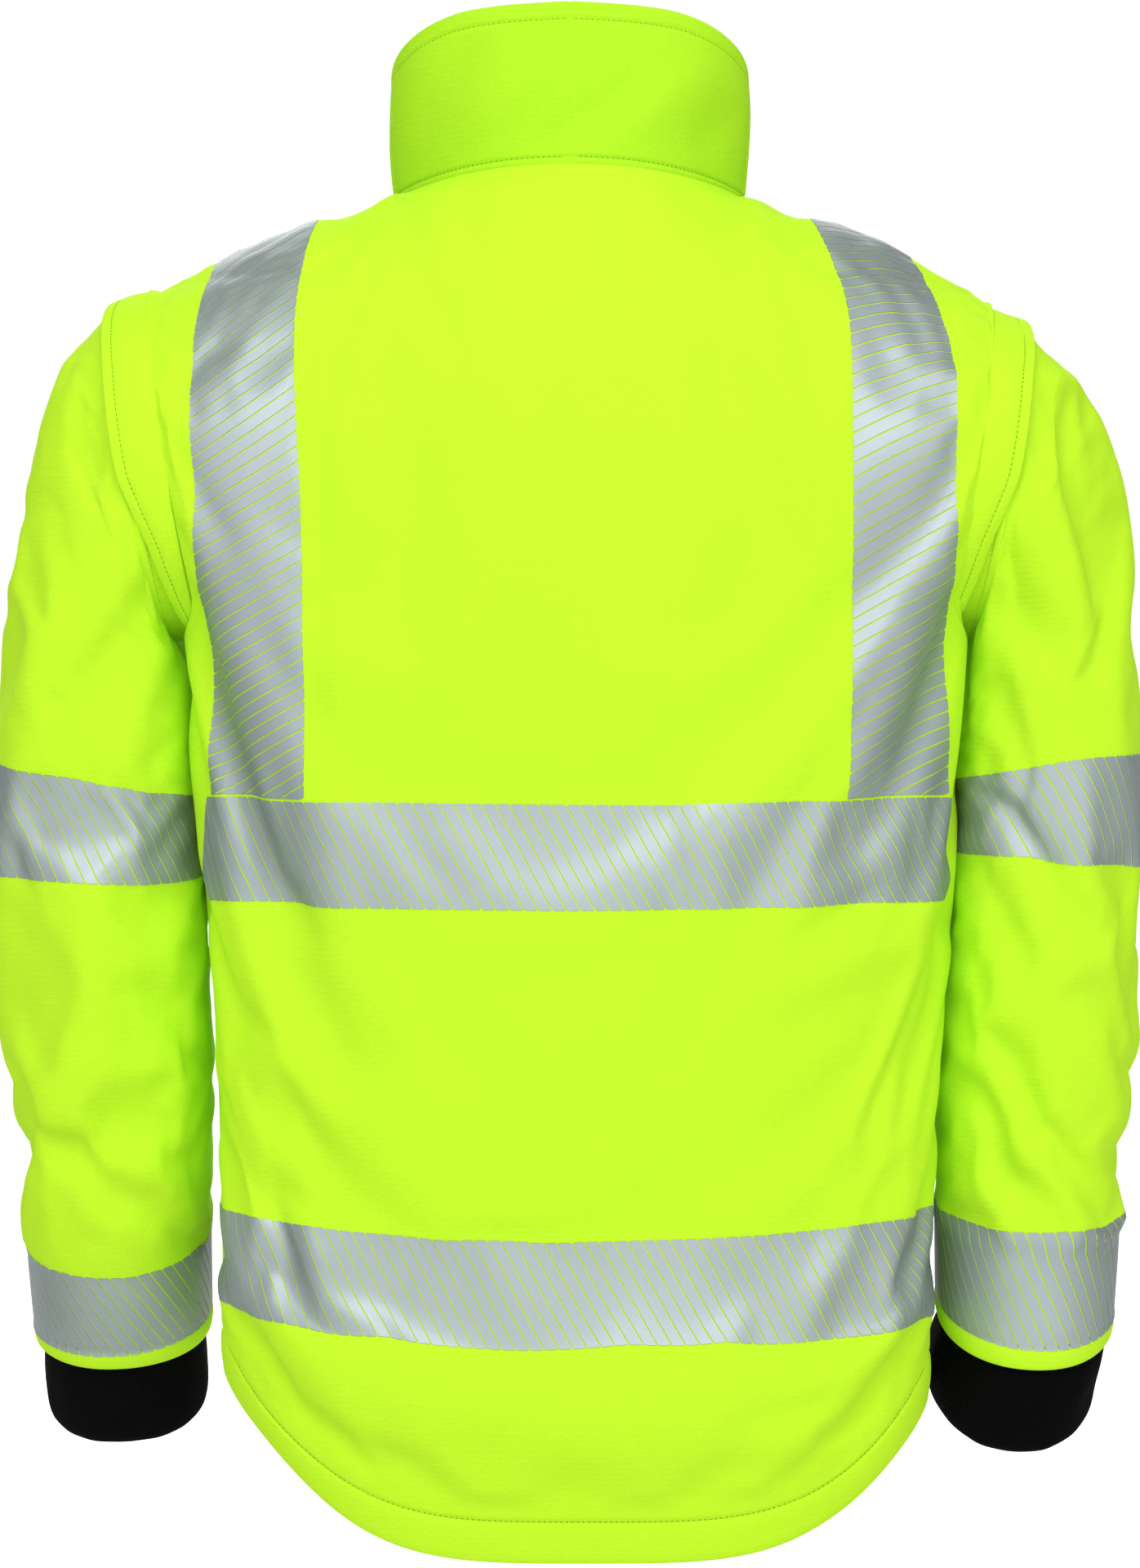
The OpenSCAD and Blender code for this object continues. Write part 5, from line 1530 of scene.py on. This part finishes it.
# ------------------------------------------------------------------ materials of the CAD pieces
# {0} stands for each side; every piece not listed takes the lining
CAD_MATERIALS = [
    (ZIP_TAPE, "front_zip_{0}_tape"),
    (TEETH, "front_zip_{0}_teeth front_zip_pin front_zip_box {0}_pocket_zip"),
    (SLIDER, "front_zip_slider front_zip_pull {0}_pocket_slider {0}_pocket_pull "
             "{0}_armhole_slider {0}_armhole_pull"),
    (PLASTIC, "{0}_cord_lock_barrel {0}_cord_lock_plunger"),
]
cad_material = {node: material for material, nodes in CAD_MATERIALS
                for name in SIDE_NAME.values() for node in nodes.format(name).split()}
for node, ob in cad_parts.items():
    material = cad_material.get(node, LINING)
    if not ob.data.materials:
        ob.data.materials.append(material)
    for slot in ob.material_slots:
        slot.material = material

# ------------------------------------------------------------------ floor, light, camera (metres)
FLOOR_Z = -0.86
FLOOR_RADII = (1.0, 3.0, 9.0, 30.0)
FLOOR_SEGMENTS = 48
LIGHT_TARGET = Vector((0, 0, -0.3))
# name, place, size, power
LIGHTS = [
    ("Key", (0.9, 2.6, 1.5), 1.6, 44),
    ("Fill", (-1.2, 2.6, 0.9), 1.8, 34),
    ("Top", (0.0, 0.6, 2.2), 2.0, 14),
    ("FrontFill", (0.3, -2.2, 0.8), 2.0, 34),
]


def camera_only(tree, unseen, seen):
    """One value for light and reflections, another for what the camera sees directly."""
    ray = add_node(tree, "LightPath").outputs["Is Camera Ray"]
    return remap(tree, ray, low=unseen, high=seen, from_low=0.0, from_high=1.0)


def build_floor():
    count = FLOOR_SEGMENTS
    verts = [(0, 0, FLOOR_Z)]
    for radius in FLOOR_RADII:
        verts += [(radius * math.cos(2 * math.pi * k / count),
                   radius * math.sin(2 * math.pi * k / count), FLOOR_Z) for k in range(count)]
    faces = [[0, 1 + k, 1 + (k + 1) % count] for k in range(count)]
    faces += (quads(len(FLOOR_RADII), count, True)[:, [0, 3, 2, 1]] + 1).tolist()
    mesh = bpy.data.meshes.new("Floor")
    mesh.from_pydata(verts, [], faces)
    mesh.update()
    ob = bpy.data.objects.new("Floor", mesh)
    bpy.context.scene.collection.objects.link(ob)
    material, tree, shader = new_material("floor_pale")
    set_values(shader, {"Base Color": (0.86, 0.86, 0.86, 1), "Roughness": 0.95,
                        "Specular IOR Level": 0.0, "Emission Color": (1, 1, 1, 1)})
    tree.links.new(camera_only(tree, unseen=0.0, seen=0.72), shader.inputs["Emission Strength"])
    mesh.materials.append(material)


def build_light(name, location, size, power):
    light = bpy.data.lights.new(name, "AREA")
    light.energy = power
    light.size = size
    ob = bpy.data.objects.new(name, light)
    bpy.context.scene.collection.objects.link(ob)
    ob.location = location
    ob.rotation_euler = (LIGHT_TARGET - Vector(location)).to_track_quat("-Z", "Y").to_euler()


def build_world():
    world = bpy.data.worlds.new("World")
    bpy.context.scene.world = world
    world.use_nodes = True
    tree = world.node_tree
    background = tree.nodes["Background"]
    background.inputs[0].default_value = (1, 1, 1, 1)
    tree.links.new(camera_only(tree, unseen=0.40, seen=1.05), background.inputs[1])


def build_camera():
    """Camera behind the coat, looking level at its back."""
    camera = bpy.data.cameras.new("Camera")
    camera.sensor_fit = "VERTICAL"
    camera.sensor_height = 36.0
    camera.lens = 85.0875
    ob = bpy.data.objects.new("Camera", camera)
    bpy.context.scene.collection.objects.link(ob)
    ob.location = (0.0, 1.9, -0.307)
    ob.rotation_euler = (math.pi / 2, 0, math.pi)
    bpy.context.scene.camera = ob


build_floor()
for light in LIGHTS:
    build_light(*light)
build_world()
build_camera()
bpy.context.scene.view_settings.view_transform = "Standard"
